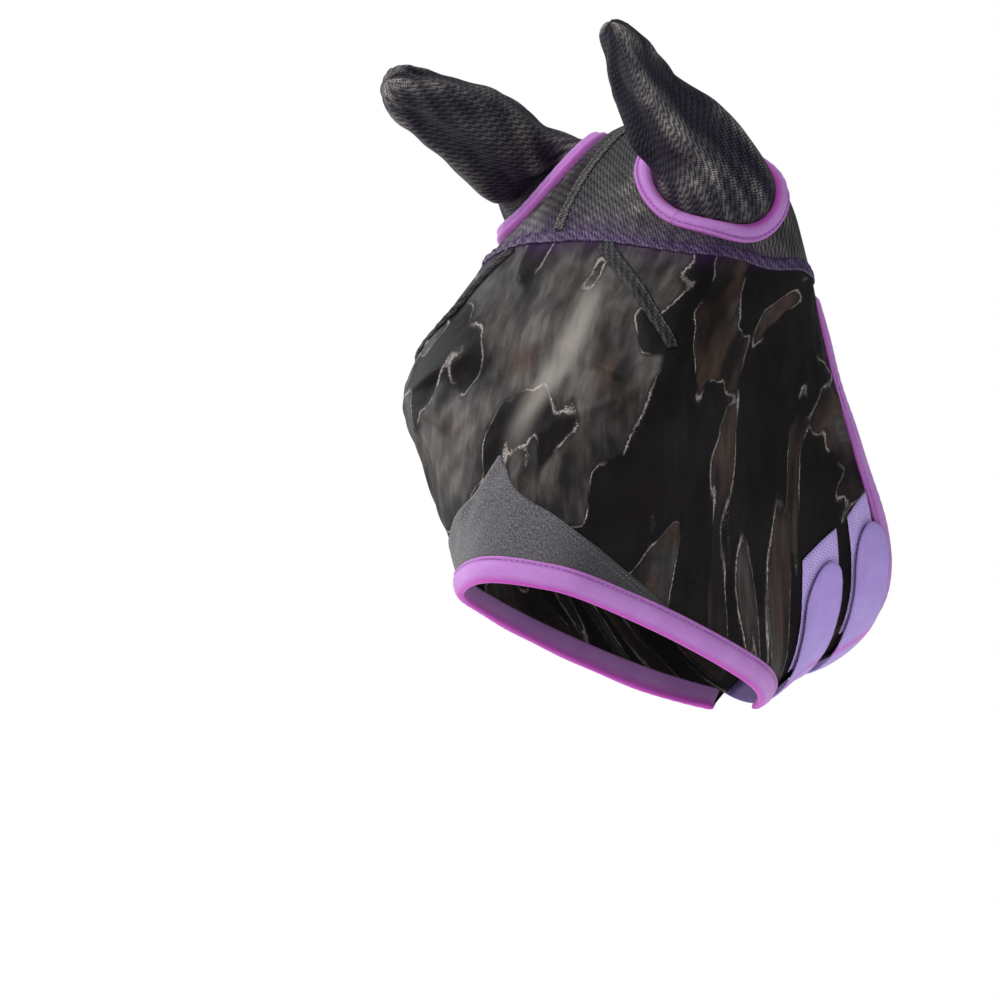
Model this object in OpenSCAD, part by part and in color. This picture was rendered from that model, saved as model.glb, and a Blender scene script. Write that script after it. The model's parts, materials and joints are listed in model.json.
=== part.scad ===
// Fly mask with ear covers for a horse, in the shape it has when worn.
// +Z is up, -Y is the way the horse faces, +X is the horse's left (near) side.
// The origin is on the poll, where the crown rests between the ears.

/* [Head form] */
// Size of the whole form against a full-size head
head_size = 1; // [0.92:0.02:1.08]
// How far each dart lifts the mesh off the eye
eye_bulge = 26; // [18:1:32]
// Radius of mesh that each dart lifts
bulge_reach = 130; // [110:5:150]

/* [Fabric] */
// Thickness of the mesh panels
mesh_t = 1.2; // [0.8:0.1:1.2]
// Thickness of tapes, patches and webbing
tape_t = 1; // [0.8:0.1:1.2]
// Thickness of the padding inside a binding
padding_t = 1.8; // [1.2:0.1:2]
// Space between one sewn layer and the next
layer_gap = 0.4; // [0.3:0.05:0.5]

/* [Bindings] */
// Width of the nose binding
nose_band_w = 16; // [13:1:18]
// Width of the rear bindings
rear_band_w = 13; // [11:1:14]
// Width of the ear rings
ear_ring_w = 10; // [8:1:11]
// Width of the black hems
hem_w = 7; // [5:1:8]

/* [Ear covers] */
// Length of an ear cover from its ring to its tip
ear_length = 160; // [140:5:175]
// Half width of an ear cover at its widest
ear_half_w = 33; // [28:1:34]
// Angle of the near ear above the horizon
ear_lift_near = 39; // [34:1:44]
// Angle of the off ear above the horizon
ear_lift_off = 23; // [20:1:30]
// Angle that the near ear turns outwards
ear_splay_near = 12; // [6:1:14]
// Angle that the off ear turns outwards
ear_splay_off = 6; // [2:1:10]

/* [Throat straps] */
// Width of a strap
strap_w = 36; // [32:1:37]
// Space between the two straps
strap_gap = 13; // [10:1:16]

/* [Hidden] */

// Stations of a full-size head form, from the rear edge (0) to the nose edge (6). Each one is:
// [top y, top z, jaw y, jaw z, half widths at the front corner, the temple, the cheek and the jaw].
stations = [
    [  28,   -6, 167, -337, 40,  64, 66, 66],
    [ -18,    4, 157, -348, 56, 104, 82, 68],
    [ -64,  -22, 143, -356, 52, 102, 92, 67],
    [-104,  -75, 127, -362, 70, 108, 96, 63],
    [-134, -145, 110, -368, 90, 110, 93, 58],
    [-157, -222,  92, -378, 60,  86, 82, 54],
    [-171, -313,  72, -391, 34,  54, 62, 47],
];
// Share of the way from top to jaw at which each column of the form lies
column_share = [0, 0.05, 0.16, 0.5, 0.86, 1];
nose_u = len(stations) - 1; // station of the nose edge
chin_v = len(column_share) - 1; // column under the jaw
slope_step = 0.02; // step for slopes on the form

// Eye bulge: its tip on the form (station, column), and the way it is lifted (x, y, z)
eye_tip = [4.4, 1.1];
lift_dir = [0.92, -0.38, -0.05];
lift_sharpness = 1.35; // 1 is a plain cone
midline_blend = 60; // the sideways lift fades out this near the midline

// Edges of the face mesh under the jaw; the straps bridge the space between them
near_edge_v = 4.7;
off_edge_v = -4.6;
// The seam between the crown and the face mesh, as (station, column)
brow_seam = [[3.05, 0], [2.92, 0.95], [2.68, 1.7], [1.95, 2.22], [1.05, 2.4], [0.15, 2.5]];

// Ear holes in the crown (station, column)
ear_hole_at = [1.63, 1.37];
ear_hole_span = [0.83, 0.72];
ear_rim_share = 0.76; // the ear cover's rim against its hole, so that it can tilt
ridge_turn = 45; // where the front ridge of an ear starts on its rim, in degrees
ear_view = [1, -1, 0]; // the way the front ridges look
rim_blend = 0.25; // share of its length over which the rim becomes the leaf
// Half widths of an ear cover against ear_half_w: [share of its length, across the ridges, through them]
ear_taper = [[0, 1, 0.9], [0.2, 1, 0.85], [0.35, 0.94, 0.75], [0.58, 0.73, 0.58],
    [0.82, 0.47, 0.37], [0.95, 0.28, 0.2], [1, 0.1, 0.08]];

// Layers, as distances out from the form
wall_t = 1; // one wall of a binding
padding_lo = mesh_t + layer_gap;
wall_lo = padding_lo + padding_t + layer_gap;
wall_hi = wall_lo + wall_t;
tape_lo = mesh_t + layer_gap;
tape_hi = tape_lo + tape_t;
strap_lo = wall_hi + layer_gap;
strap_hi = strap_lo + tape_t;
hook_lo = tape_hi + 1.5 * layer_gap;
hook_hi = strap_lo - layer_gap;

// Straps lie between planes square to this axis
strap_axis = [0, 0.936, 0.351];
strap_rear_c = 29 * head_size; // the rear strap's rear edge along strap_axis
strap_front_c = strap_rear_c - strap_w - strap_gap;
band_cover = 9; // how much of the rear strap lies over the rear bindings
front_patch_v = [3.57, 3.6]; // top of a loop patch at its front and rear corner
rear_patch_v = [3.6, 3.56];
tab_tip_v = 3.69;
round_end = 0.17; // height of a tab's round end, in columns
tab_hinge_v = 4.45;
sewn_hinge_v = 5.5;
sewn_end_v = 5.85;
hinge_space = 0.02; // half the slit at a strap's hinge, in columns
panel_space = 0.006; // half the slit at a seam, in stations or columns

black_mesh = [0.11, 0.11, 0.13];
black_crown = [0.07, 0.07, 0.09];
heather = [0.25, 0.25, 0.29];
purple = [0.66, 0.42, 0.74];
lilac = [0.66, 0.54, 0.80];
brow_purple = [0.27, 0.12, 0.36];
foam = [0.85, 0.85, 0.85];

// ---- The head form -------------------------------------------------------------------------

function clamp(x, lo, hi) = min(max(x, lo), hi);
function unit(a) = a / norm(a);
function flip(p) = [-p[0], p[1], p[2]];
function spread(n) = [for (k = [0:n]) k / n];
function spline(p, t) = 0.5 * (2 * p[1] + (p[2] - p[0]) * t
    + (2 * p[0] - 5 * p[1] + 4 * p[2] - p[3]) * t * t
    + (3 * p[1] - p[0] - 3 * p[2] + p[3]) * t * t * t);
// A smooth curve through points, at t from 0 to the last index
function curve(points, t) = let (last = len(points) - 1, i = clamp(floor(t), 0, last - 1))
    spline([for (k = [-1:2]) i + k < 0 ? 2 * points[0] - points[1]
        : i + k > last ? 2 * points[last] - points[last - 1] : points[i + k]], t - i);

// Control point of the form at station i and column j
function knot(i, j) =
    i < 0 ? 2 * knot(0, j) - knot(1, j)
    : i > nose_u ? 2 * knot(nose_u, j) - knot(nose_u - 1, j)
    : j < 0 ? flip(knot(i, -j))
    : j > chin_v ? flip(knot(i, 2 * chin_v - j))
    : let (s = stations[i], h = column_share[j], across = j == 0 || j == chin_v ? 0 : s[3 + j])
        head_size * [across, s[0] + (s[2] - s[0]) * h, s[1] + (s[3] - s[1]) * h];

// Point of the smooth form at (station, column); columns past chin_v carry on up the off side
function form(uv) = let (i = clamp(floor(uv[0]), 0, nose_u - 1), j = floor(uv[1]))
    spline([for (a = [-1:2]) spline([for (b = [-1:2]) knot(i + a, j + b)], uv[1] - j)], uv[0] - i);

eye_base = form(eye_tip);
function lifted(p) = let (
        away = norm([abs(p[0]), p[1], p[2]] - eye_base),
        lift = eye_bulge * pow(max(0, 1 - away / bulge_reach), lift_sharpness),
        side = clamp(p[0] / midline_blend, -1, 1))
    p + lift * [lift_dir[0] * side, lift_dir[1], lift_dir[2]];
// Point of the mask's inner surface
function skin(uv) = lifted(form(uv));
function slope_u(uv) = (skin(uv + [slope_step, 0]) - skin(uv - [slope_step, 0])) / (2 * slope_step);
function slope_v(uv) = (skin(uv + [0, slope_step]) - skin(uv - [0, slope_step])) / (2 * slope_step);
function normal(uv) = unit(cross(slope_u(uv), slope_v(uv)));
function at(uv, out) = skin(uv) + out * normal(uv);

// The step on the form, 1 mm long, square to a path that runs along way: it goes to the nose side
// of a path that runs from the off side to the near side
function step_across(uv, way) = let (
        su = slope_u(uv), sv = slope_v(uv), t = su * way[0] + sv * way[1],
        q = [t * sv, -(t * su)])
    q / norm(su * q[0] + sv * q[1]);
function way_along(path, k) = path[min(k + 1, len(path) - 1)] - path[max(k - 1, 0)];
function mirrored(path) = [for (k = [len(path) - 1:-1:0]) [path[k][0], -path[k][1]]];

// ---- Solids on the form --------------------------------------------------------------------

function quad(a, b, c, d) = [[a, b, c], [a, c, d]];
// A sheet between two grids of points with the same rows and columns; outer is on the normal's side
module sheet(inner, outer) {
    rows = len(inner);
    cols = len(inner[0]);
    function id(side, i, j) = (side * rows + i) * cols + j;
    faces = [
        for (i = [0:rows - 2], j = [0:cols - 2]) each concat(
            quad(id(1, i, j), id(1, i, j + 1), id(1, i + 1, j + 1), id(1, i + 1, j)),
            quad(id(0, i, j), id(0, i + 1, j), id(0, i + 1, j + 1), id(0, i, j + 1))),
        for (i = [0:rows - 2]) each concat(
            quad(id(0, i, 0), id(1, i, 0), id(1, i + 1, 0), id(0, i + 1, 0)),
            quad(id(1, i, cols - 1), id(0, i, cols - 1), id(0, i + 1, cols - 1), id(1, i + 1, cols - 1))),
        for (j = [0:cols - 2]) each concat(
            quad(id(1, 0, j), id(0, 0, j), id(0, 0, j + 1), id(1, 0, j + 1)),
            quad(id(0, rows - 1, j), id(1, rows - 1, j), id(1, rows - 1, j + 1), id(0, rows - 1, j + 1))),
    ];
    polyhedron([for (g = [inner, outer], row = g, p = row) p], faces);
}
// A sheet on the form over a grid of (station, column), between two distances out
module panel(grid, lo, hi) {
    sheet([for (row = grid) [for (uv = row) at(uv, lo)]], [for (row = grid) [for (uv = row) at(uv, hi)]]);
}
// Path moved sideways by mm, to its nose side where mm is positive
function beside_path(path, mm) = [for (k = [0:len(path) - 1])
    path[k] + mm * step_across(path[k], way_along(path, k))];
// A flat tape along a path, from left to right mm across it
module tape(path, left, right, lo, hi, steps = 2) {
    panel([for (s = spread(steps)) beside_path(path, left + (right - left) * s)], lo, hi);
}
// Sections swept along a path, closed into a ring or capped at both ends
module sweep(sections, ring) {
    n = len(sections[0]);
    count = len(sections);
    last = ring ? count - 1 : count - 2;
    faces = [
        for (i = [0:last], j = [0:n - 1]) let (a = i * n + j, b = i * n + (j + 1) % n,
                c = ((i + 1) % count) * n + (j + 1) % n, d = ((i + 1) % count) * n + j)
            each quad(d, c, b, a),
        if (!ring) [for (j = [0:n - 1]) j],
        if (!ring) [for (j = [n - 1:-1:0]) (count - 1) * n + j],
    ];
    polyhedron([for (s = sections, p = s) p], faces);
}
// Section of tape folded round an edge, as [mm in from the edge, mm out from the form]
function fold(w, lo) = let (lip = 1, low = -layer_gap, hi = lo + wall_t, mid = w / 2)
    [[w, low - wall_t], [mid, low - wall_t], [-lip - wall_t / 2, low - wall_t], [-lip - wall_t, low],
     [-lip - wall_t, hi - wall_t / 2], [-lip - wall_t / 2, hi], [mid, hi], [w - 1, hi], [w, hi - 0.5], [w, lo],
     [mid, lo], [-lip, lo], [-lip, low], [mid, low], [w, low]];
function turned_over(points) = [for (k = [len(points) - 1:-1:0]) points[k]];
// Point of a section beside a path: past the edge, where t is negative, it carries on straight
function beside(uv, way, turn, t, out) = let (q = turn * step_across(uv, way))
    t >= 0 ? at(uv + q * t, out)
    : at(uv, out) + t * unit(slope_u(uv) * q[0] + slope_v(uv) * q[1]);
// A folded edge along a path; turn is 1 where the fabric lies on the path's nose side, or else -1
module binding(path, turn, w, lo) {
    section = turn > 0 ? fold(w, lo) : turned_over(fold(w, lo));
    sweep([for (k = [0:len(path) - 1])
        [for (s = section) beside(path[k], way_along(path, k), turn, s[0], s[1])]], false);
}
module off_side() {
    mirror([1, 0, 0]) children();
}

// ---- Face, crown and edges -----------------------------------------------------------------

brow_steps = 24;
brow_line = [for (s = spread(brow_steps)) curve(brow_seam, s * (len(brow_seam) - 1))];
brow_end = brow_line[brow_steps];
brow_path = concat(mirrored(brow_line), [for (k = [1:brow_steps]) brow_line[k]]);

// The face mesh hangs from the brow seam and, below its ends, from the rear edge
cheek_columns = [for (v = [2.62:0.12:4.55]) v];
face_rows = 14;
face_tops = concat([[0, off_edge_v]], mirrored([for (v = cheek_columns) [0, v]]), brow_path,
    [for (v = cheek_columns) [0, v]], [[0, near_edge_v]]);
module face_mesh() {
    color(black_mesh) panel([for (s = spread(face_rows)) [for (top = face_tops)
        [top[0] + (nose_u - top[0]) * s, top[1]]]], 0, mesh_t);
}

// Outline of half the crown round its ear hole: midline, brow seam, rear edge
crown_outline = concat(
    [for (u = [0.2:0.2:2.9]) [u, panel_space]],
    [for (k = [0:2:brow_steps]) [brow_line[k][0] - 2 * panel_space, max(brow_line[k][1], panel_space)]],
    [for (v = [2.3:-0.2:0.2]) [0, v]],
    [[0, panel_space]]);
crown_rows = 7;
function hole_point(p) = let (d = p - ear_hole_at)
    ear_hole_at + d / norm([d[0] / ear_hole_span[0], d[1] / ear_hole_span[1]]);
module crown_half() {
    // Each section is one spoke from the outline to the hole and back, through the thickness
    color(black_crown) sweep([for (p = crown_outline) let (
            rim = hole_point(p), spoke = [for (s = spread(crown_rows)) rim + (p - rim) * pow(s, 1.2)])
        concat([for (i = [crown_rows:-1:0]) at(spoke[i], 0)], [for (i = [0:crown_rows]) at(spoke[i], mesh_t)])],
        true);
}
module crown_seam_tape() {
    color(black_crown) tape([for (s = spread(16)) [0.3 + 2.55 * s, 0]], -4, 4, tape_lo, tape_hi);
}
module crown_rear_hem() {
    color(black_crown) binding([for (s = spread(20)) [0, 2.3 * (2 * s - 1)]], 1, hem_w, tape_lo);
}
module brow_tape() {
    path = [for (k = [2:len(brow_path) - 3]) brow_path[k]];
    color(brow_purple) tape(path, -2.5, 5.5, tape_lo, tape_hi);
}

// The dart runs from the brow seam towards the tip of the eye bulge
dart_line = [[3.15, 0.63], [3.44, 0.88], [3.7, 1.12], [3.9, 1.48]];
dart_steps = 12;
module dart_tape() {
    path = [for (s = spread(dart_steps)) curve(dart_line, s * (len(dart_line) - 1))];
    color(black_crown) panel([for (side = [-1, 0, 1]) [for (k = [0:dart_steps])
        path[k] + side * (6 - 0.15 * k) * step_across(path[k], way_along(path, k))]], tape_lo, tape_hi);
}

// The nose patch is a kite; its upper edge runs from the midline to the nose binding
patch_edge = [[5.06, 0], [5.38, 0.38], [5.5, 0.9], [5.58, 1.45], [5.64, 2.05], [5.68, 2.5]];
module nose_patch() {
    half = [for (s = spread(14)) curve(patch_edge, s * (len(patch_edge) - 1))];
    tops = concat(mirrored(half), [for (k = [1:14]) half[k]]);
    foot = beside_path([for (p = tops) [nose_u, p[1]]], -nose_band_w - 0.6);
    color(heather) panel([for (s = spread(4)) [for (k = [0:len(tops) - 1])
        tops[k] + (foot[k] - tops[k]) * s]], tape_lo, tape_hi);
}

nose_path = [for (s = spread(60)) [nose_u, off_edge_v + (near_edge_v - off_edge_v) * s]];
module nose_binding() {
    color(purple) binding(nose_path, -1, nose_band_w, wall_lo);
}
module nose_padding() {
    color(foam) tape([for (k = [1:len(nose_path) - 2]) nose_path[k]],
        2 - nose_band_w, -1, padding_lo, padding_lo + padding_t, 1);
}
function rear_path(end) = concat([[0, brow_end[1] + 0.03]], [for (v = cheek_columns) [0, v]], [[0, end]]);
module rear_binding(end) {
    color(purple) binding(rear_path(end), 1, rear_band_w, wall_lo);
}
module rear_padding(end) {
    path = rear_path(end);
    color(foam) tape([for (k = [1:len(path) - 2]) path[k]],
        1, rear_band_w - 2, padding_lo, padding_lo + padding_t, 1);
}
// The jaw hems follow the face mesh's rows, and stop short of the rear and nose bindings
module jaw_hem(v, turn) {
    color(black_crown) binding([for (k = [3:12]) [nose_u * k / face_rows, v]], turn, hem_w, tape_lo);
}

// ---- Ear covers ----------------------------------------------------------------------------

ear_centre = skin(ear_hole_at);
ear_hole_su = slope_u(ear_hole_at);
ear_hole_sv = slope_v(ear_hole_at);
near_ear = [ear_lift_near, ear_splay_near];
off_ear = [ear_lift_off, ear_splay_off];

// The ring's sections lie on the spokes of the crown
ring_path = [for (p = crown_outline) hole_point(p)];
ring_steps = len(ring_path);
function ring_way(k) = ring_path[(k + 1) % ring_steps] - ring_path[(k + ring_steps - 1) % ring_steps];
module ring_sweep(section) {
    sweep([for (k = [0:ring_steps - 1])
        [for (s = section) beside(ring_path[k], ring_way(k), 1, s[0], s[1])]], true);
}
module ear_ring() {
    color(purple) ring_sweep(fold(ear_ring_w, wall_lo));
}
module ear_ring_padding() {
    hi = padding_lo + padding_t;
    w = ear_ring_w - 2;
    color(foam) ring_sweep([[w, padding_lo], [w / 2, padding_lo], [0, padding_lo], [0, hi], [w / 2, hi], [w, hi]]);
}

// Direction of an ear cover from its ring to its tip, on the near side
function ear_way(ear) = [sin(ear[1]), -cos(ear[1]) * cos(ear[0]), cos(ear[1]) * sin(ear[0])];
// Half widths of an ear cover at a share of its length
function taper(s) = let (
        k = max([for (i = [0:len(ear_taper) - 2]) s >= ear_taper[i][0] ? i : 0]),
        a = ear_taper[k], b = ear_taper[k + 1], t = (s - a[0]) / (b[0] - a[0]))
    ear_half_w * [a[1] + (b[1] - a[1]) * t, a[2] + (b[2] - a[2]) * t];
// Point of an ear cover: share of its length, angle round it, distance in from its outer face
function ear_skin(ear, s, turn, inset) = let (
        way = ear_way(ear),
        ridge = unit(ear_view - (ear_view * way) * way),
        half = taper(s),
        leaf = ridge * cos(turn) * (half[1] - inset) + cross(way, ridge) * sin(turn) * (half[0] - inset),
        rim = ear_hole_su * cos(turn + ridge_turn) * ear_hole_span[0]
            + ear_hole_sv * sin(turn + ridge_turn) * ear_hole_span[1],
        blend = clamp(s / rim_blend, 0, 1))
    ear_centre + way * ear_length * s + leaf * blend
        + unit(rim) * (norm(rim) * ear_rim_share - inset) * (1 - blend);
ear_rows = [0.03, 0.08, 0.14, 0.2, 0.28, 0.37, 0.47, 0.58, 0.68, 0.78, 0.86, 0.92, 0.97, 0.995];
// Half an ear cover, from one ridge seam to the other
module ear_half(ear, from) {
    turns = [for (s = spread(9)) from + 179 - 178 * s];
    color(black_crown) sheet(
        [for (s = ear_rows) [for (t = turns) ear_skin(ear, s, t, mesh_t)]],
        [for (s = ear_rows) [for (t = turns) ear_skin(ear, s, t, 0)]]);
}
// The seam tape lies inside: up the front ridge, over the tip and down the back ridge
module ear_seam_tape(ear) {
    tape_shares = [0.05, 0.14, 0.24, 0.36, 0.48, 0.6, 0.72, 0.82, 0.9, 0.945];
    function half_turn(s) = min(50, asin(min(0.75, 3.5 / taper(s)[0])));
    function row(ridge, s, inset) = [for (k = [1:-1:-1])
        ear_skin(ear, s - inset / ear_length, ridge == 0 ? k * half_turn(s) : 180 - k * half_turn(s), inset)];
    function rows(inset) = concat([for (s = tape_shares) row(0, s, inset)],
        [for (k = [len(tape_shares) - 1:-1:0]) row(180, tape_shares[k], inset)]);
    color(black_mesh) sheet(rows(mesh_t + layer_gap + 1.2), rows(mesh_t + layer_gap + 0.4));
}

// ---- Throat straps -------------------------------------------------------------------------

// Station at which a column meets the plane c along strap_axis
function station_at(c, v, lo = -1, hi = 7, turns = 14) = turns == 0 ? (lo + hi) / 2
    : let (mid = (lo + hi) / 2) skin([mid, v]) * strap_axis > c
        ? station_at(c, v, mid, hi, turns - 1) : station_at(c, v, lo, mid, turns - 1);
// A stretch of strap, from the plane rear_c forwards by w. Its top runs through the columns tops at its
// front and rear corner, and is round where tip is over 0; its foot is at column foot.
module strap_piece(rear_c, w, tops, foot, lo, hi, steps, tip = 0) {
    panel([for (s = spread(6)) let (
            off = 2 * s - 1,
            c = rear_c - w * s,
            top = tops[1] + (tops[0] - tops[1]) * s + tip * (1 - sqrt(1 - off * off)))
        [for (t = spread(steps)) let (v = top + (foot - top) * t) [station_at(c, v), v]]], lo, hi);
}
module strap_tab(c) {
    color(lilac) strap_piece(c, strap_w, [tab_tip_v, tab_tip_v], tab_hinge_v - hinge_space,
        strap_lo, strap_hi, 13, round_end);
}
// cover is the width that stays clear of the rear binding
module strap_hook_pad(c, cover) {
    edge = 1.5;
    top = tab_tip_v + 0.02;
    color(purple) strap_piece(c - cover - edge, strap_w - cover - 2 * edge, [top, top], tab_hinge_v - 0.12,
        hook_lo, hook_hi, 12, round_end);
}
module strap_loop_patch(c, cover, tops) {
    color(lilac) strap_piece(c - cover, strap_w - cover, tops, tab_hinge_v - 0.1, tape_lo, tape_hi, 13);
}
module strap_webbing(c) {
    top = tab_hinge_v + hinge_space;
    color(lilac) strap_piece(c, strap_w, [top, top], sewn_hinge_v - hinge_space, strap_lo, strap_hi, 12);
}
module strap_sewn_end(c) {
    top = sewn_hinge_v + hinge_space;
    color(lilac) strap_piece(c, strap_w, [top, top], sewn_end_v, strap_lo, strap_hi, 5);
}

face_mesh();
crown_half();  // crown_near
off_side() crown_half();  // crown_off
crown_seam_tape();
crown_rear_hem();
brow_tape();
dart_tape();  // dart_tape_near
off_side() dart_tape();  // dart_tape_off
nose_patch();
nose_binding();
nose_padding();
rear_binding(near_edge_v);  // rear_binding_near
off_side() rear_binding(-off_edge_v);  // rear_binding_off
rear_padding(near_edge_v);  // rear_padding_near
off_side() rear_padding(-off_edge_v);  // rear_padding_off
jaw_hem(near_edge_v, 1);  // jaw_hem_near
jaw_hem(off_edge_v, -1);  // jaw_hem_off
ear_ring();  // ear_ring_near
off_side() ear_ring();  // ear_ring_off
ear_ring_padding();  // ear_ring_padding_near
off_side() ear_ring_padding();  // ear_ring_padding_off
ear_half(near_ear, -180);  // ear_near_front
ear_half(near_ear, 0);  // ear_near_back
ear_seam_tape(near_ear);  // ear_near_seam_tape
off_side() ear_half(off_ear, -180);  // ear_off_front
off_side() ear_half(off_ear, 0);  // ear_off_back
off_side() ear_seam_tape(off_ear);  // ear_off_seam_tape
strap_sewn_end(strap_front_c);  // strap_front_sewn_end
strap_webbing(strap_front_c);  // strap_front_webbing
strap_tab(strap_front_c);  // strap_front_tab
strap_hook_pad(strap_front_c, 0);  // strap_front_hook_pad
strap_loop_patch(strap_front_c, 0, front_patch_v);  // strap_front_loop_patch
strap_sewn_end(strap_rear_c);  // strap_rear_sewn_end
strap_webbing(strap_rear_c);  // strap_rear_webbing
strap_tab(strap_rear_c);  // strap_rear_tab
strap_hook_pad(strap_rear_c, band_cover);  // strap_rear_hook_pad
strap_loop_patch(strap_rear_c, band_cover, rear_patch_v);  // strap_rear_loop_patch
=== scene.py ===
"""Fly mask with ear covers: the visible pieces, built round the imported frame. Lengths are in metres."""
import json
import math

import bpy
import numpy as np
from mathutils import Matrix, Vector


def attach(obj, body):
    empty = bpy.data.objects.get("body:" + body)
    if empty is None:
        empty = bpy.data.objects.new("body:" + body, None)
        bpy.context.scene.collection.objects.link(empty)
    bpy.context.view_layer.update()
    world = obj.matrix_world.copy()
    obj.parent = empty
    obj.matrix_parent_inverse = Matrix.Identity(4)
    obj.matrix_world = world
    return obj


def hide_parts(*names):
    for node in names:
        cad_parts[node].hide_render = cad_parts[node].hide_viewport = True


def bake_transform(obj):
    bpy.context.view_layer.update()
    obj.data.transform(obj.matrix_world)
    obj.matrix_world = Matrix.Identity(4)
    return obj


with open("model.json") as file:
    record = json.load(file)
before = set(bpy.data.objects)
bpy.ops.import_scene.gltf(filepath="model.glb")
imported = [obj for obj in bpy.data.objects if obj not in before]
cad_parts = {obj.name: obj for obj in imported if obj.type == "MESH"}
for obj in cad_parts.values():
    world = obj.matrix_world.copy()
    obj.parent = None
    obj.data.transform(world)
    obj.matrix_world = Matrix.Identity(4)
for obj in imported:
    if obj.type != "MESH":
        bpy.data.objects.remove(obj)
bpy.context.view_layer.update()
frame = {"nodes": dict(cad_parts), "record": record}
MM = 0.001

# ---- The head form, as part.scad has it -------------------------------------------------------

# Stations from the rear edge (0) to the nose edge (6), in mm: top y, top z, jaw y, jaw z, and the
# half widths at the front corner, the temple, the cheek and the jaw
STATIONS = np.array([
    [28, -6, 167, -337, 40, 64, 66, 66],
    [-18, 4, 157, -348, 56, 104, 82, 68],
    [-64, -22, 143, -356, 52, 102, 92, 67],
    [-104, -75, 127, -362, 70, 108, 96, 63],
    [-134, -145, 110, -368, 90, 110, 93, 58],
    [-157, -222, 92, -378, 60, 86, 82, 54],
    [-171, -313, 72, -391, 34, 54, 62, 47],
], float) * MM
COLUMN_SHARE = [0, 0.05, 0.16, 0.5, 0.86, 1]
NOSE_U, CHIN_V = 6, 5
EYE_TIP = (4.4, 1.1)
EYE_BULGE, BULGE_REACH, LIFT_SHARPNESS, MIDLINE_BLEND = 26 * MM, 130 * MM, 1.35, 60 * MM
LIFT_DIR = np.array([0.92, -0.38, -0.05])
NEAR_EDGE_V, OFF_EDGE_V = 4.7, -4.6
BROW_SEAM = [(3.05, 0), (2.92, 0.95), (2.68, 1.7), (1.95, 2.22), (1.05, 2.4), (0.15, 2.5)]
EAR_HOLE_AT, EAR_HOLE_SPAN = np.array([1.63, 1.37]), np.array([0.83, 0.72])
# The padded ring swells into its hole, so the hole is this share of its cut size
RING_SCALE = 0.94
STRAP_AXIS = np.array([0, 0.936, 0.351])
FIRST_COLUMN = -8
SLOPE = 0.02


def knots():
    """Control points for stations -1 to 7 and columns -8 to 10."""
    def knot(i, j):
        if j < 0:
            return knot(i, -j) * (-1, 1, 1)
        if j > CHIN_V:
            return knot(i, 2 * CHIN_V - j) * (-1, 1, 1)
        s, h = STATIONS[i], COLUMN_SHARE[j]
        across = 0 if j in (0, CHIN_V) else s[3 + j]
        return np.array([across, s[0] + (s[2] - s[0]) * h, s[1] + (s[3] - s[1]) * h])
    rows = np.array([[knot(i, j) for j in range(FIRST_COLUMN, 11)] for i in range(NOSE_U + 1)])
    return np.concatenate([2 * rows[:1] - rows[1:2], rows, 2 * rows[-1:] - rows[-2:-1]])


KNOTS = knots()


def weights(t):
    return 0.5 * np.stack([-t + 2 * t**2 - t**3, 2 - 5 * t**2 + 3 * t**3,
                           t + 4 * t**2 - 3 * t**3, t**3 - t**2], -1)


def form(uv):
    uv = np.asarray(uv, float)
    i = np.clip(np.floor(uv[..., 0]), 0, NOSE_U - 1).astype(int)
    j = np.floor(uv[..., 1]).astype(int)
    four = np.arange(4)
    block = KNOTS[(i[..., None] + four)[..., :, None],
                  (j[..., None] - 1 - FIRST_COLUMN + four)[..., None, :]]
    return np.einsum("...a,...b,...abc->...c", weights(uv[..., 0] - i), weights(uv[..., 1] - j), block)


EYE_BASE = form(EYE_TIP)


def skin(uv):
    """The mask's inner surface at (station, column)."""
    p = form(uv)
    away = np.linalg.norm(np.stack([np.abs(p[..., 0]), p[..., 1], p[..., 2]], -1) - EYE_BASE, axis=-1)
    lift = EYE_BULGE * np.maximum(0, 1 - away / BULGE_REACH) ** LIFT_SHARPNESS
    side = np.clip(p[..., 0] / MIDLINE_BLEND, -1, 1)
    return p + lift[..., None] * LIFT_DIR * np.stack([side, np.ones_like(side), np.ones_like(side)], -1)


def unit(a):
    return a / np.maximum(np.linalg.norm(a, axis=-1, keepdims=True), 1e-12)


def slopes(uv):
    uv = np.asarray(uv, float)
    du, dv = np.array([SLOPE, 0]), np.array([0, SLOPE])
    return ((skin(uv + du) - skin(uv - du)) / (2 * SLOPE), (skin(uv + dv) - skin(uv - dv)) / (2 * SLOPE))


def normal(uv):
    return unit(np.cross(*slopes(uv)))


def at(uv, out):
    return skin(uv) + np.asarray(out)[..., None] * normal(uv)


def smooth(x, low, high):
    t = np.clip((x - low) / (high - low), 0, 1)
    return t * t * (3 - 2 * t)


def curve(points, t):
    """A Catmull-Rom curve through points, at t from 0 to the last index."""
    p = np.asarray(points, float)
    p = np.concatenate([2 * p[:1] - p[1:2], p, 2 * p[-1:] - p[-2:-1]])
    t = np.asarray(t, float)
    i = np.clip(np.floor(t), 0, len(points) - 2).astype(int)
    return np.einsum("...a,...ac->...c", weights(t - i), p[i[..., None] + np.arange(4)])


def mirrored(path):
    return np.asarray(path)[::-1] * (1, -1)


def evenly(path, step, ring=False):
    """The path (station, column) resampled at even steps along the surface; also returns the distances."""
    path = np.asarray(path, float)
    if ring:
        path = np.concatenate([path, path[:1]])
    run = np.concatenate([[0], np.cumsum(np.linalg.norm(np.diff(skin(path), axis=0), axis=1))])
    n = max(3, round(run[-1] / step))
    s = np.linspace(0, run[-1], n + 1)
    if ring:
        s = s[:-1]
    return np.stack([np.interp(s, run, path[:, k]) for k in (0, 1)], -1), s


def way_along(path, ring=False):
    if ring:
        return np.roll(path, -1, 0) - np.roll(path, 1, 0)
    return np.gradient(path, axis=0)


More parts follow.
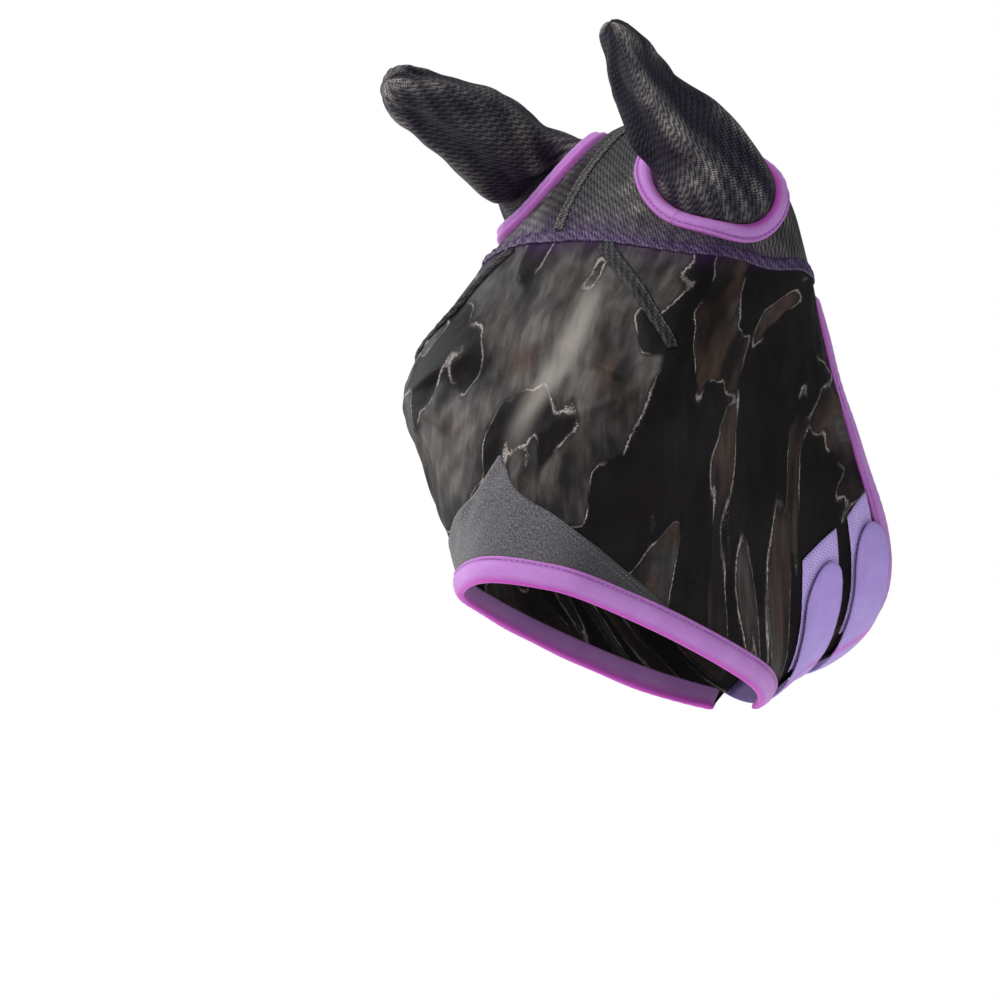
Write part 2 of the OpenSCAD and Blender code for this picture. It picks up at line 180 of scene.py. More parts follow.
def step_across(uv, way):
    """The step on the form, 1 m long, square to a path that runs along way."""
    su, sv = slopes(uv)
    t = su * way[..., :1] + sv * way[..., 1:]
    q = np.stack([(t * sv).sum(-1), -(t * su).sum(-1)], -1)
    return q / np.linalg.norm(su * q[..., :1] + sv * q[..., 1:], axis=-1)[..., None]


# ---- Meshes -----------------------------------------------------------------------------------

def waves(x, y, length, seed, count=5):
    """A smooth random field from -1 to 1, with features about length across."""
    pick = np.random.default_rng(seed)
    total = 0
    for _ in range(count):
        angle, phase = pick.uniform(0, 2 * math.pi, 2)
        k = 2 * math.pi / (length * pick.uniform(0.7, 1.4))
        total = total + np.sin(k * (x * math.cos(angle) + y * math.sin(angle)) + phase)
    return total / count * 1.4


def make(name, points, faces, uv=None, values=None):
    """A smooth-shaded mesh object with a weave map in metres and named values on its points."""
    if name in bpy.data.objects:
        name += "_cloth"
    mesh = bpy.data.meshes.new(name)
    mesh.from_pydata(np.asarray(points).reshape(-1, 3).tolist(), [], faces)
    mesh.validate()
    mesh.calc_loop_triangles()
    corners = np.zeros(3 * len(mesh.loop_triangles), np.int32)
    mesh.loop_triangles.foreach_get("vertices", corners)
    a, b, c = np.asarray(points).reshape(-1, 3)[corners.reshape(-1, 3)].transpose(1, 0, 2)
    if (a * np.cross(b, c)).sum() < 0:
        mesh.flip_normals()
    mesh.shade_smooth()
    if uv is not None:
        layer = mesh.uv_layers.new(name="weave")
        corners = np.zeros(len(mesh.loops), np.int32)
        mesh.loops.foreach_get("vertex_index", corners)
        layer.data.foreach_set("uv", np.asarray(uv, np.float32).reshape(-1, 2)[corners].ravel())
    for key, value in (values or {}).items():
        mesh.attributes.new(key, "FLOAT", "POINT").data.foreach_set(
            "value", np.broadcast_to(value, (len(mesh.vertices),)).astype(np.float32).ravel())
    obj = bpy.data.objects.new(name, mesh)
    bpy.context.scene.collection.objects.link(obj)
    return obj


def arc_map(grid):
    """Distances along and across a grid of points, for its weave."""
    mid_row, mid_col = grid.shape[0] // 2, grid.shape[1] // 2
    across = np.concatenate([np.zeros((grid.shape[0], 1)),
                             np.cumsum(np.linalg.norm(np.diff(grid, axis=1), axis=-1), axis=1)], 1)
    along = np.concatenate([np.zeros((1, grid.shape[1])),
                            np.cumsum(np.linalg.norm(np.diff(grid, axis=0), axis=-1), axis=0)])
    across = across - across[:, mid_col:mid_col + 1]
    along = along - along[mid_row:mid_row + 1]
    return np.stack([across, along], -1)


def sheet_faces(rows, cols, around=False):
    """Faces of a closed sheet: points of the inner grid, then of the outer one."""
    def index(side, i, j):
        return (side * rows + i) * cols + j % cols
    faces = []
    last = cols if around else cols - 1
    for i in range(rows - 1):
        for j in range(last):
            faces.append((index(1, i, j), index(1, i, j + 1), index(1, i + 1, j + 1), index(1, i + 1, j)))
            faces.append((index(0, i, j), index(0, i + 1, j), index(0, i + 1, j + 1), index(0, i, j + 1)))
        if not around:
            faces.append((index(0, i, 0), index(1, i, 0), index(1, i + 1, 0), index(0, i + 1, 0)))
            faces.append((index(1, i, cols - 1), index(0, i, cols - 1),
                          index(0, i + 1, cols - 1), index(1, i + 1, cols - 1)))
    for j in range(last):
        faces.append((index(1, 0, j), index(0, 0, j), index(0, 0, j + 1), index(1, 0, j + 1)))
        faces.append((index(0, rows - 1, j), index(1, rows - 1, j),
                      index(1, rows - 1, j + 1), index(0, rows - 1, j + 1)))
    return faces


def sheet(name, inner, outer, uv=None, values=None, around=False):
    """A closed sheet between two grids of points."""
    rows, cols = inner.shape[:2]
    uv = arc_map(outer) if uv is None else uv
    doubled = {k: np.concatenate([np.broadcast_to(v, (rows, cols)).ravel()] * 2)
               for k, v in (values or {}).items()}
    return make(name, np.stack([inner, outer]), sheet_faces(rows, cols, around),
                np.stack([uv, uv]), doubled)


def soft_edge(rows, cols, width_rows, width_cols):
    """1 inside a grid and 0 at its edges, rounded over that many rows and columns."""
    i, j = np.meshgrid(np.arange(rows), np.arange(cols), indexing="ij")
    to_row = np.minimum(i, rows - 1 - i) / max(width_rows, 1e-6)
    to_col = np.minimum(j, cols - 1 - j) / max(width_cols, 1e-6)
    t = np.clip(np.minimum(to_row, to_col), 0, 1)
    return np.sqrt(1 - (1 - t) ** 2)


def tube(name, sections, uv, values=None, ring=False):
    """Closed sections swept along a path; open ends are closed."""
    count, n = sections.shape[:2]
    faces = [(i * n + j, i * n + (j + 1) % n, (i + 1) % count * n + (j + 1) % n, (i + 1) % count * n + j)
             for i in range(count if ring else count - 1) for j in range(n)]
    if not ring:
        faces += [tuple(range(n - 1, -1, -1)), tuple((count - 1) * n + j for j in range(n))]
    return make(name, sections, faces, uv, values)


def stitch_row(places, normals, pitch, length, radius, closed=False, sink=0.35):
    """Points and faces of a row of stitches that lie along places; each is a small rounded bar."""
    places, normals = np.asarray(places), np.asarray(normals)
    if closed:
        places, normals = np.concatenate([places, places[:1]]), np.concatenate([normals, normals[:1]])
    run = np.concatenate([[0], np.cumsum(np.linalg.norm(np.diff(places, axis=0), axis=1))])
    count = max(1, int(run[-1] / pitch))
    pitch = run[-1] / count
    s = (np.arange(count) + 0.5) * pitch
    pick = lambda a, x: np.stack([np.interp(x, run, a[:, k]) for k in range(3)], -1)
    centre, up = pick(places, s), unit(pick(normals, s))
    along = unit(pick(places, np.minimum(s + length / 2, run[-1]))
                 - pick(places, np.maximum(s - length / 2, 0)))
    side = unit(np.cross(up, along))
    up = np.cross(along, side)
    rings = [(-0.5, 0.35), (-0.4, 0.8), (0, 1), (0.4, 0.8), (0.5, 0.35)]
    turn = np.arange(6) * math.pi / 3
    points = np.stack([centre[:, None] + along[:, None] * length * a
                       + (side[:, None] * np.cos(turn)[None, :, None]
                          + up[:, None] * np.sin(turn)[None, :, None] * 0.8) * radius * b
                       + up[:, None] * radius * (b - sink - 0.65) for a, b in rings], 1)
    faces = []
    for k in range(count):
        base = k * 30
        faces += [(base + r * 6 + j, base + r * 6 + (j + 1) % 6, base + (r + 1) * 6 + (j + 1) % 6,
                   base + (r + 1) * 6 + j) for r in range(4) for j in range(6)]
        faces += [tuple(base + j for j in range(5, -1, -1)), tuple(base + 24 + j for j in range(6))]
    return points.reshape(-1, 3), faces


def stitching(name, rows):
    """One object that holds several rows of stitches."""
    points, faces, start = [], [], 0
    for p, f in rows:
        points.append(p)
        faces += [tuple(i + start for i in face) for face in f]
        start += len(p)
    points = np.concatenate(points)
    return make(name, points, faces, points[:, :2])


# ---- Materials ----------------------------------------------------------------------------------

class Nodes:
    """Builds one material's nodes."""

    def __init__(self, name):
        self.material = bpy.data.materials.new(name)
        self.material.use_nodes = True
        self.tree = self.material.node_tree
        self.shader = self.tree.nodes["Principled BSDF"]

    def put(self, socket, value):
        if hasattr(value, "is_output"):
            self.tree.links.new(value, socket)
        elif isinstance(value, (tuple, list)) and len(value) == 3 and socket.type == "RGBA":
            socket.default_value = (*value, 1)
        else:
            socket.default_value = value

    def set(self, **values):
        for name, value in values.items():
            self.put(self.shader.inputs[name.replace("_", " ")], value)

    def math(self, operation, a, b=None, c=None, clamp=False):
        node = self.tree.nodes.new("ShaderNodeMath")
        node.operation, node.use_clamp = operation, clamp
        for k, value in enumerate((a, b, c)):
            if value is not None:
                self.put(node.inputs[k], value)
        return node.outputs[0]

    def ramp(self, x, low, high, to_low=0.0, to_high=1.0):
        node = self.tree.nodes.new("ShaderNodeMapRange")
        node.interpolation_type = "SMOOTHSTEP"
        for name, value in (("Value", x), ("From Min", low), ("From Max", high), ("To Min", to_low),
                            ("To Max", to_high)):
            self.put(node.inputs[name], value)
        return node.outputs[0]

    def mix(self, share, a, b):
        node = self.tree.nodes.new("ShaderNodeMix")
        node.data_type = "RGBA"
        self.put(node.inputs[0], share)
        self.put(node.inputs[6], a)
        self.put(node.inputs[7], b)
        return node.outputs[2]

    def value(self, name):
        node = self.tree.nodes.new("ShaderNodeAttribute")
        node.attribute_name = name
        return node.outputs["Fac"]

    def weave(self):
        """Distances along and across the cloth, in mm."""
        node = self.tree.nodes.new("ShaderNodeUVMap")
        node.uv_map = "weave"
        split = self.tree.nodes.new("ShaderNodeSeparateXYZ")
        self.tree.links.new(node.outputs[0], split.inputs[0])
        self.flat = node.outputs[0]
        return [self.math("MULTIPLY", split.outputs[k], 1000.0) for k in (0, 1)]

    def wave(self, x, pitch, phase=0.0):
        """A sine from -1 to 1 along x, in mm."""
        return self.math("SINE", self.math("MULTIPLY_ADD", x, 2 * math.pi / pitch, phase))

    def noise(self, size, detail=2.0, roughness=0.5, stretch=None):
        """Noise with features about size mm across, on the cloth."""
        node = self.tree.nodes.new("ShaderNodeTexNoise")
        source = self.flat
        if stretch:
            scale = self.tree.nodes.new("ShaderNodeVectorMath")
            scale.operation = "MULTIPLY"
            self.tree.links.new(source, scale.inputs[0])
            scale.inputs[1].default_value = stretch
            source = scale.outputs[0]
        self.tree.links.new(source, node.inputs["Vector"])
        node.inputs["Scale"].default_value = 1000 / size
        node.inputs["Detail"].default_value = detail
        node.inputs["Roughness"].default_value = roughness
        return node.outputs[0]

    def bump(self, height, depth):
        """Surface relief; height is 0 to 1 and depth in mm."""
        node = self.tree.nodes.new("ShaderNodeBump")
        node.inputs["Strength"].default_value = 1.0
        node.inputs["Distance"].default_value = depth * MM
        self.tree.links.new(height, node.inputs["Height"])
        self.tree.links.new(node.outputs[0], self.shader.inputs["Normal"])


def plain_weave(n, pitch):
    """Height of a plain weave, 0 to 1."""
    x, y = n.weave()
    over = n.math("MULTIPLY", n.wave(x, pitch * 2), n.wave(y, pitch * 2))
    warp = n.math("ABSOLUTE", n.wave(x, pitch * 2, math.pi / 2))
    weft = n.math("ABSOLUTE", n.wave(y, pitch * 2, math.pi / 2))
    pick = n.ramp(over, -0.25, 0.25)
    return n.math("ADD", n.math("MULTIPLY", warp, pick),
                  n.math("MULTIPLY", weft, n.math("SUBTRACT", 1.0, pick)))


SHEEN_SPAN = 58.0  # mm from one patch of painted sheen on the face mesh to the next
SHEEN_EDGE = 0.55  # level of the noise field at which the painted sheen starts
SHEEN_BIAS = 0.10  # how much the middle of the face adds to the field, for more painted sheen there


def face_mesh_material():
    n = Nodes("face_mesh")
    height = plain_weave(n, 1.3)
    # Painted sheen: the mesh is painted lighter inside wandering outlines of a noise field, with painted
    # glitter along their edges
    painted_light_field = n.math("MULTIPLY_ADD", n.value("slack_and_sheen"), SHEEN_BIAS, n.noise(SHEEN_SPAN, 2.0, 0.45, (1.0, 0.6, 1.0)))
    sheen = n.ramp(painted_light_field, SHEEN_EDGE, SHEEN_EDGE + 0.03, 0.04, 0.68)
    brown = n.math("SUBTRACT", n.noise(60.0, 1.0, 0.5), n.math("MULTIPLY", n.value("slack_and_sheen"), 0.2))
    brown = n.ramp(brown, 0.35, 0.55)
    # Painted glitter: bright broken lines painted along the outlines of the painted sheen
    outline = n.math("MULTIPLY", n.math("SUBTRACT", painted_light_field, SHEEN_EDGE), SHEEN_SPAN * 2.5)
    strength = n.ramp(n.noise(34.0, 1.0, 0.5), 0.36, 0.5)
    wobble = n.noise(3.2, 3.0, 0.7)
    line = n.math("ABSOLUTE", n.math("ADD", outline, n.math("MULTIPLY_ADD", wobble, 4.4, -2.2)))
    glitter = n.math("MULTIPLY", n.ramp(n.noise(0.9, 2.0, 0.7), 0.44, 0.62, 0.12, 1.0),
                     n.ramp(n.noise(16.0, 2.0, 0.6), 0.35, 0.6, 0.25, 1.0))
    spread = n.math("MULTIPLY", n.ramp(line, 0.4, 3.2, 0.42, 0.0), n.ramp(n.noise(0.8, 2.0, 0.7), 0.5, 0.66))
    line = n.math("MULTIPLY", n.math("MAXIMUM", n.ramp(line, 0.2, 1.25, 1.0, 0.0), spread),
                  n.math("MULTIPLY", strength, glitter))
    broad = n.ramp(n.noise(42.0, 3.0, 0.6, (1.0, 0.55, 1.0)), 0.36, 0.66, 0.12, 1.0)
    # Painted highlight: the pale strip beside the midline, painted over the sheen
    pale = n.value("pale")
    streaks = n.noise(8.0, 4.0, 0.65, (1.0, 0.2, 1.0))
    fine = n.noise(2.2, 3.0, 0.7)
    # grey and warm are the colours of the painted sheen
    grey = n.mix(n.ramp(streaks, 0.3, 0.72), (0.026, 0.023, 0.022), (0.128, 0.118, 0.108))
    warm = n.mix(n.ramp(streaks, 0.3, 0.75), (0.026, 0.012, 0.008), (0.088, 0.046, 0.028))
    shine = n.math("MULTIPLY", sheen, n.math("MAXIMUM", broad, pale))
    base = n.mix(n.value("brow_glow"), (0.0045, 0.0038, 0.0045), (0.030, 0.008, 0.052))
    cloth = n.mix(shine, base, n.mix(brown, grey, warm))
    pale_share = n.math("MULTIPLY", pale, n.ramp(streaks, 0.2, 0.6, 0.75, 1.0))
    cloth = n.mix(pale_share, cloth, (0.235, 0.215, 0.195))
    # Painted glints: fine light specks inside the painted sheen
    cloth = n.mix(n.math("MULTIPLY", n.ramp(fine, 0.45, 0.8, 0.0, 0.28), shine), cloth, (0.16, 0.15, 0.15))
    cloth = n.mix(n.ramp(height, 0.1, 0.9, 0.30, 0.0), cloth, (0.002, 0.002, 0.003))
    cloth = n.mix(line, cloth, (0.56, 0.50, 0.47))
    n.set(Base_Color=cloth, Alpha=FACE_ALPHA)
    n.set(Roughness=n.math("MULTIPLY_ADD", fine, 0.3, 0.28))
    n.put(n.shader.inputs["Specular IOR Level"], n.math("MULTIPLY_ADD", shine, 0.22, 0.04))
    n.bump(height, 0.10)
    return n.material


def dashes(n, x, y):
    """Staggered short dashes of a dense mesh, 0 to 1."""
    slant = n.math("MULTIPLY", n.math("ABSOLUTE", n.wave(x, 7.0)), 0.9)
    a = n.wave(n.math("ADD", y, slant), 2.0)
    b = n.wave(n.math("MULTIPLY_ADD", y, 0.8, x), 2.6)
    return n.math("MULTIPLY_ADD", n.math("MULTIPLY", a, b), 0.5, 0.5)


def crown_mesh_material():
    """Dense mesh; lit is painted light: dashes and ground are painted lighter where the cloth stands out, as
    painted highlight, and darker in hollows, as painted shade.
    """
    n = Nodes("crown_mesh")
    x, y = n.weave()
    lattice = dashes(n, x, y)
    ply, blotch = n.noise(1.2, 2.0, 0.6), n.noise(17.0, 4.0, 0.65)
    lit = n.math("MULTIPLY", n.value("lit"), n.ramp(blotch, 0.32, 0.68, 0.35, 1.25))
    dash = n.math("MULTIPLY", n.ramp(lattice, 0.42, 0.85), n.ramp(ply, 0.25, 0.6, 0.45, 1.0))
    dark = n.mix(n.value("tint"), (0.0030, 0.0025, 0.0065), (0.020, 0.006, 0.042))
    # Painted highlight: the ground is painted lighter where lit, and the light dashes show only where lit
    dark = n.mix(lit, dark, (0.040, 0.037, 0.036))
    light = n.mix(n.value("tint"), (0.36, 0.345, 0.315), (0.22, 0.13, 0.32))
    share = n.math("MULTIPLY", dash, n.math("MULTIPLY_ADD", n.math("POWER", lit, 1.4), 0.95, 0.05))
    n.set(Base_Color=n.mix(share, dark, light), Roughness=n.math("MULTIPLY_ADD", blotch, 0.2, 0.36))
    n.put(n.shader.inputs["Specular IOR Level"], n.math("MULTIPLY_ADD", dash, 0.35, 0.10))
    n.bump(lattice, 0.16)
    return n.material


def seam_material(name, dark, light, gloss):
    """Tape of the same dashed mesh."""
    n = Nodes(name)
    x, y = n.weave()
    lattice = dashes(n, x, y)
    blotch = n.noise(20.0, 3.0, 0.6)
    dash = n.ramp(lattice, 0.45, 0.86)
    n.set(Base_Color=n.mix(n.math("MULTIPLY", dash, n.ramp(blotch, 0.3, 0.7, 0.3, 1.0)), dark, light),
          Roughness=n.math("MULTIPLY_ADD", blotch, 0.2, gloss))
    n.put(n.shader.inputs["Specular IOR Level"], n.math("MULTIPLY_ADD", dash, 0.25, 0.06))
    n.bump(lattice, 0.2)
    return n.material


def tape_material(name, dark, light, pitch, gloss):
    """Woven tape with ribs across it."""
    n = Nodes(name)
    height = plain_weave(n, pitch)
    wear = n.noise(14.0, 4.0, 0.6)
    fuzz = n.noise(0.9, 2.0, 0.7)
    share = n.math("MULTIPLY", n.ramp(height, 0.15, 0.95), n.ramp(wear, 0.3, 0.7, 0.55, 1.0))
    cloth = n.mix(share, dark, light)
    cloth = n.mix(n.ramp(fuzz, 0.62, 0.8, 0.0, 0.35), cloth, tuple(min(1, c * 1.8 + 0.01) for c in light))
    n.set(Base_Color=cloth, Roughness=n.math("MULTIPLY_ADD", wear, 0.25, gloss))
    n.put(n.shader.inputs["Specular IOR Level"], 0.12)
    n.bump(height, 0.16)
    return n.material


def patch_material():
    n = Nodes("nose_patch")
    height = plain_weave(n, 1.5)
    fleck, fine = n.noise(1.3, 3.0, 0.8), n.noise(0.6, 1.0, 0.5)
    cloth = n.mix(n.ramp(fleck, 0.38, 0.64), (0.020, 0.019, 0.023), (0.135, 0.128, 0.146))
    cloth = n.mix(n.ramp(fine, 0.6, 0.75, 0.0, 0.5), cloth, (0.30, 0.29, 0.32))
    cloth = n.mix(n.ramp(height, 0.2, 0.7, 0.45, 0.0), cloth, (0.012, 0.011, 0.016))
    cloth = n.mix(n.math("MULTIPLY", n.value("shade"), 0.8), cloth, (0.010, 0.010, 0.012))
    n.set(Base_Color=cloth, Roughness=0.78, Sheen_Weight=0.25)
    n.put(n.shader.inputs["Specular IOR Level"], 0.2)
    n.bump(height, 0.18)
    return n.material


def binding_material():
    n = Nodes("purple_binding")
    x, y = n.weave()
    rib = n.math("MULTIPLY_ADD", n.wave(n.math("ADD", x, n.math("MULTIPLY", y, 0.6)), 1.1), 0.5, 0.5)
    fuzz, broad = n.noise(0.8, 3.0, 0.7), n.noise(22.0, 3.0, 0.5)
    body = n.mix(n.ramp(fuzz, 0.3, 0.72), (0.300, 0.115, 0.385), (0.420, 0.195, 0.500))
    body = n.mix(n.ramp(broad, 0.35, 0.7, 0.0, 0.3), body, (0.46, 0.235, 0.535))
    # rim: deeper magenta along the edges, partly the binding's own colour and partly painted shade where it
    # turns over
    rim = n.mix(n.ramp(fuzz, 0.3, 0.7), (0.33, 0.020, 0.30), (0.47, 0.055, 0.42))
    cloth = n.mix(n.value("edge"), body, rim)
    # Painted shade: the stitch groove is painted darker
    cloth = n.mix(n.value("groove"), cloth, (0.17, 0.035, 0.21))
    n.set(Base_Color=cloth, Roughness=0.72, Sheen_Weight=0.35)
    n.put(n.shader.inputs["Sheen Tint"], (0.85, 0.6, 0.95))
    n.put(n.shader.inputs["Specular IOR Level"], 0.2)
    n.bump(n.math("ADD", n.math("MULTIPLY", rib, 0.5), fuzz), 0.16)
    return n.material


def webbing_material(name, dark, light, pitch):
    """Brushed nylon with a broken twill; the fold at the foot is painted deeper magenta, as painted shade
    with a painted reflection.
    """
    n = Nodes(name)
    x, y = n.weave()
    zigzag = n.math("ABSOLUTE", n.wave(x, pitch * 7))
    slanted = n.math("ADD", y, n.math("MULTIPLY", zigzag, pitch * 2))
    twill = n.math("MULTIPLY_ADD", n.wave(slanted, pitch), 0.5, 0.5)
    fleck, broad = n.noise(0.9, 3.0, 0.75), n.noise(18.0, 3.0, 0.55)
    cloth = n.mix(n.math("MULTIPLY", n.ramp(twill, 0.1, 0.9), n.ramp(broad, 0.3, 0.7, 0.6, 1.0)), dark, light)
    cloth = n.mix(n.ramp(fleck, 0.56, 0.76, 0.0, 0.6), cloth, tuple(min(1, c * 1.45) for c in light))
    # Painted shade with a painted magenta reflection along the fold at the foot
    cloth = n.mix(n.value("edge"), cloth, (0.42, 0.05, 0.42))
    n.set(Base_Color=cloth, Roughness=0.66, Sheen_Weight=0.3)
    n.put(n.shader.inputs["Sheen Tint"], (0.8, 0.75, 1.0))
    n.put(n.shader.inputs["Specular IOR Level"], 0.25)
    n.bump(n.math("ADD", n.math("MULTIPLY", twill, 0.6), n.math("MULTIPLY", fleck, 0.6)), 0.2)
    return n.material


def hook_material():
    n = Nodes("hook_tape")
    x, y = n.weave()
    dots = n.math("MULTIPLY", n.math("MULTIPLY_ADD", n.wave(x, 1.6), 0.5, 0.5),
                  n.math("MULTIPLY_ADD", n.wave(y, 1.6), 0.5, 0.5))
    wear = n.noise(9.0, 3.0, 0.6)
    cloth = n.mix(n.ramp(dots, 0.2, 0.7), (0.10, 0.045, 0.20), (0.34, 0.20, 0.52))
    cloth = n.mix(n.ramp(wear, 0.5, 0.75, 0.0, 0.3), cloth, (0.42, 0.30, 0.60))
    n.set(Base_Color=cloth, Roughness=0.5)
    n.bump(dots, 0.7)
    return n.material


def padding_material():
    n = Nodes("padding")
    height = plain_weave(n, 1.8)
    wear = n.noise(12.0, 4.0, 0.6)
    n.set(Base_Color=n.mix(n.ramp(wear, 0.3, 0.7), (0.55, 0.53, 0.56), (0.75, 0.73, 0.75)), Roughness=0.9)
    n.bump(height, 0.3)
    return n.material


def thread_material(name, dark, light):
    n = Nodes(name)
    n.weave()
    ply = n.noise(0.35, 1.0, 0.5)
    n.set(Base_Color=n.mix(n.ramp(ply, 0.35, 0.65), dark, light), Roughness=0.45, Sheen_Weight=0.2)
    n.bump(ply, 0.05)
    return n.material


FACE_ALPHA = 0.965
BLACK_THREAD = thread_material("black_thread", (0.02, 0.02, 0.022), (0.15, 0.145, 0.14))
PURPLE_THREAD = thread_material("purple_thread", (0.27, 0.07, 0.36), (0.50, 0.22, 0.58))
LILAC_THREAD = thread_material("lilac_thread", (0.20, 0.11, 0.40), (0.52, 0.40, 0.78))
GREY_THREAD = thread_material("grey_thread", (0.05, 0.05, 0.055), (0.30, 0.29, 0.28))
CROWN_SEAM = seam_material("crown_seam", (0.012, 0.011, 0.016), (0.150, 0.142, 0.134), 0.42)
LOOK = {
    "face_mesh": face_mesh_material(),
    "crown_mesh": crown_mesh_material(),
    "seam_tape": seam_material("seam_tape", (0.006, 0.0055, 0.0085), (0.070, 0.067, 0.066), 0.42),
    "black_hem": tape_material("black_hem", (0.004, 0.004, 0.005), (0.022, 0.021, 0.025), 1.1, 0.55),
    "brow_tape": seam_material("brow_tape", (0.022, 0.009, 0.042), (0.155, 0.115, 0.200), 0.34),
    "nose_patch": patch_material(),
    "purple_binding": binding_material(),
    "padding": padding_material(),
    "webbing": webbing_material("webbing", (0.240, 0.155, 0.450), (0.420, 0.310, 0.690), 1.5),
    "hook_tape": hook_material(),
    "loop_tape": webbing_material("loop_tape", (0.250, 0.170, 0.450), (0.520, 0.420, 0.760), 2.6),
}
SLOT_OF = {part["node"]: part["material_slot"] for part in frame["record"]["subparts"]}


def finish_piece(obj, look, nodes=(), body="mask",
                 ends=None):
    """Gives a piece its material, hides its CAD nodes, and attaches it to its body, or bakes its transform
    when it has ends.
    """
    obj.data.materials.clear()
    obj.data.materials.append(LOOK[look] if look in LOOK else look)
    if nodes:
        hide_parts(*nodes)
    if ends:
        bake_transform(obj)
    else:
        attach(obj, body)
    return obj


# ---- Lines on the mask --------------------------------------------------------------------------

brow_line = curve(BROW_SEAM, np.linspace(0, len(BROW_SEAM) - 1, 400))
BROW_END = tuple(brow_line[-1])


def brow_station(v):
    """Station of the brow seam at a column, or of the rear edge past its end."""
    v = np.abs(v)
    return np.where(v <= BROW_END[1], np.interp(v, brow_line[:, 1], brow_line[:, 0]), 0.0)


def spot_distance(uv, spot):
    """Distance in metres from points on the form to the same spot on either side."""
    p = form(uv)
    return np.linalg.norm(np.stack([np.abs(p[..., 0]), p[..., 1], p[..., 2]], -1) - form(spot), axis=-1)


MM_PER_STATION, MM_PER_COLUMN = 62, 58


def relief(uv):
    """How far the fabric stands out from the smooth form: puckers at seams, creases and slack."""
    uv = np.asarray(uv, float)
    u, v = uv[..., 0], uv[..., 1]
    p = form(uv)
    x, y, z = p[..., 0], p[..., 1], p[..., 2]
    below_brow = (u - brow_station(v)) * MM_PER_STATION
    along_brow = v * MM_PER_COLUMN - u * 9 * np.sign(v)
    pucker = (0.55 * np.sin(along_brow * 2 * math.pi / 11 + 2 * waves(x, z, 60 * MM, 3))
              * np.exp(-(np.abs(below_brow) / 13) ** 2))
    slack_and_sheen = 1.5 * waves(x + 0.4 * y, z, 75 * MM, 5) + 0.55 * waves(x - y, z, 24 * MM, 9)
    away = spot_distance(uv, EYE_TIP) / MM
    turn = np.arctan2((np.abs(v) - EYE_TIP[1]) * MM_PER_COLUMN, (u - EYE_TIP[0]) * MM_PER_STATION)
    rays = (1.7 * np.maximum(0, np.cos(3.5 * turn + 0.7)) ** 4
            + 0.9 * np.maximum(0, np.cos(6 * turn - 1)) ** 5)
    creases = rays * smooth(away, 4, 22) * (1 - smooth(away, 45, 95))
    across_face = 1.2 * np.sin(below_brow * 2 * math.pi / 46 + 1.2 * v) * np.exp(-(v / 0.9) ** 2) \
        * smooth(below_brow, 8, 40)
    e = np.hypot((u - EAR_HOLE_AT[0]) / EAR_HOLE_SPAN[0], (np.abs(v) - EAR_HOLE_AT[1]) / EAR_HOLE_SPAN[1])
    ring_turn = np.arctan2(np.abs(v) - EAR_HOLE_AT[1], u - EAR_HOLE_AT[0])
    ring_pucker = 0.5 * np.sin(22 * ring_turn) * np.exp(-((e - 1.32) / 0.16) ** 2)
    fade = (smooth(NOSE_U - u, 0.22, 0.5) * smooth(u, 0.12, 0.45) * smooth(e, 1.18, 1.45)
            * (1 - smooth(np.abs(v), 3.3, 3.6)))
    on_crown = smooth(-below_brow, 0, 12)
    total = pucker + slack_and_sheen * (1 - 0.35 * on_crown) * smooth(np.abs(below_brow), 0, 14) \
        + creases + across_face * (1 - on_crown) + ring_pucker
    return total * fade * MM


def on(uv, out):
    return at(uv, np.asarray(out) + relief(uv))


def beside_on(path, across, out, turn=1, ring=False):
    """Points across metres beside a path and out metres off the fabric; across under 0 runs on straight."""
    across = np.asarray(across, float)
    q = turn * step_across(path, way_along(path, ring))
    uv = path + q * np.maximum(across, 0)[..., None]
    su, sv = slopes(path)
    past = unit(su * q[..., :1] + sv * q[..., 1:])
    return on(uv, out) + np.minimum(across, 0)[..., None] * past


# ---- Layers, as distances out from the form, and sizes from part.scad ---------------------------

MESH_T = 1.2 * MM
TAPE_LO, TAPE_HI = 1.6 * MM, 2.6 * MM
STRAP_LO, STRAP_HI = 5.2 * MM, 6.2 * MM
HOOK_LO, HOOK_HI = 3.2 * MM, 4.8 * MM
NOSE_W, REAR_W, RING_W, HEM_W = 16 * MM, 13 * MM, 10 * MM, 7 * MM
STRAP_W, STRAP_GAP = 36 * MM, 13 * MM
STRAP_C = {"rear": 29 * MM, "front": 29 * MM - STRAP_W - STRAP_GAP}
BAND_COVER = 9 * MM
PATCH_TOP = {"front": (3.57, 3.60), "rear": (3.60, 3.56)}
TAB_TIP_V, ROUND_END = 3.69, 0.17
TAB_HINGE_V, SEWN_HINGE_V, SEWN_END_V = 4.45, 5.5, 5.85
SPLIT_V = 4.95

# ---- Distance to a line -------------------------------------------------------------------------


def line_distance(points, places):
    """Distance from points to the nearest place on a polyline, and that place's share of the line."""
    a, b = places[:-1], places[1:]
    best, share = np.full(len(points), np.inf), np.zeros(len(points))
    for k in range(len(a)):
        way = b[k] - a[k]
        t = np.clip(((points - a[k]) @ way) / (way @ way), 0, 1)
        d = np.linalg.norm(points - a[k] - t[:, None] * way, axis=1)
        nearer = d < best
        best[nearer], share[nearer] = d[nearer], ((k + t) / len(a))[nearer]
    return best, share


# ---- Face mesh and crown ------------------------------------------------------------------------

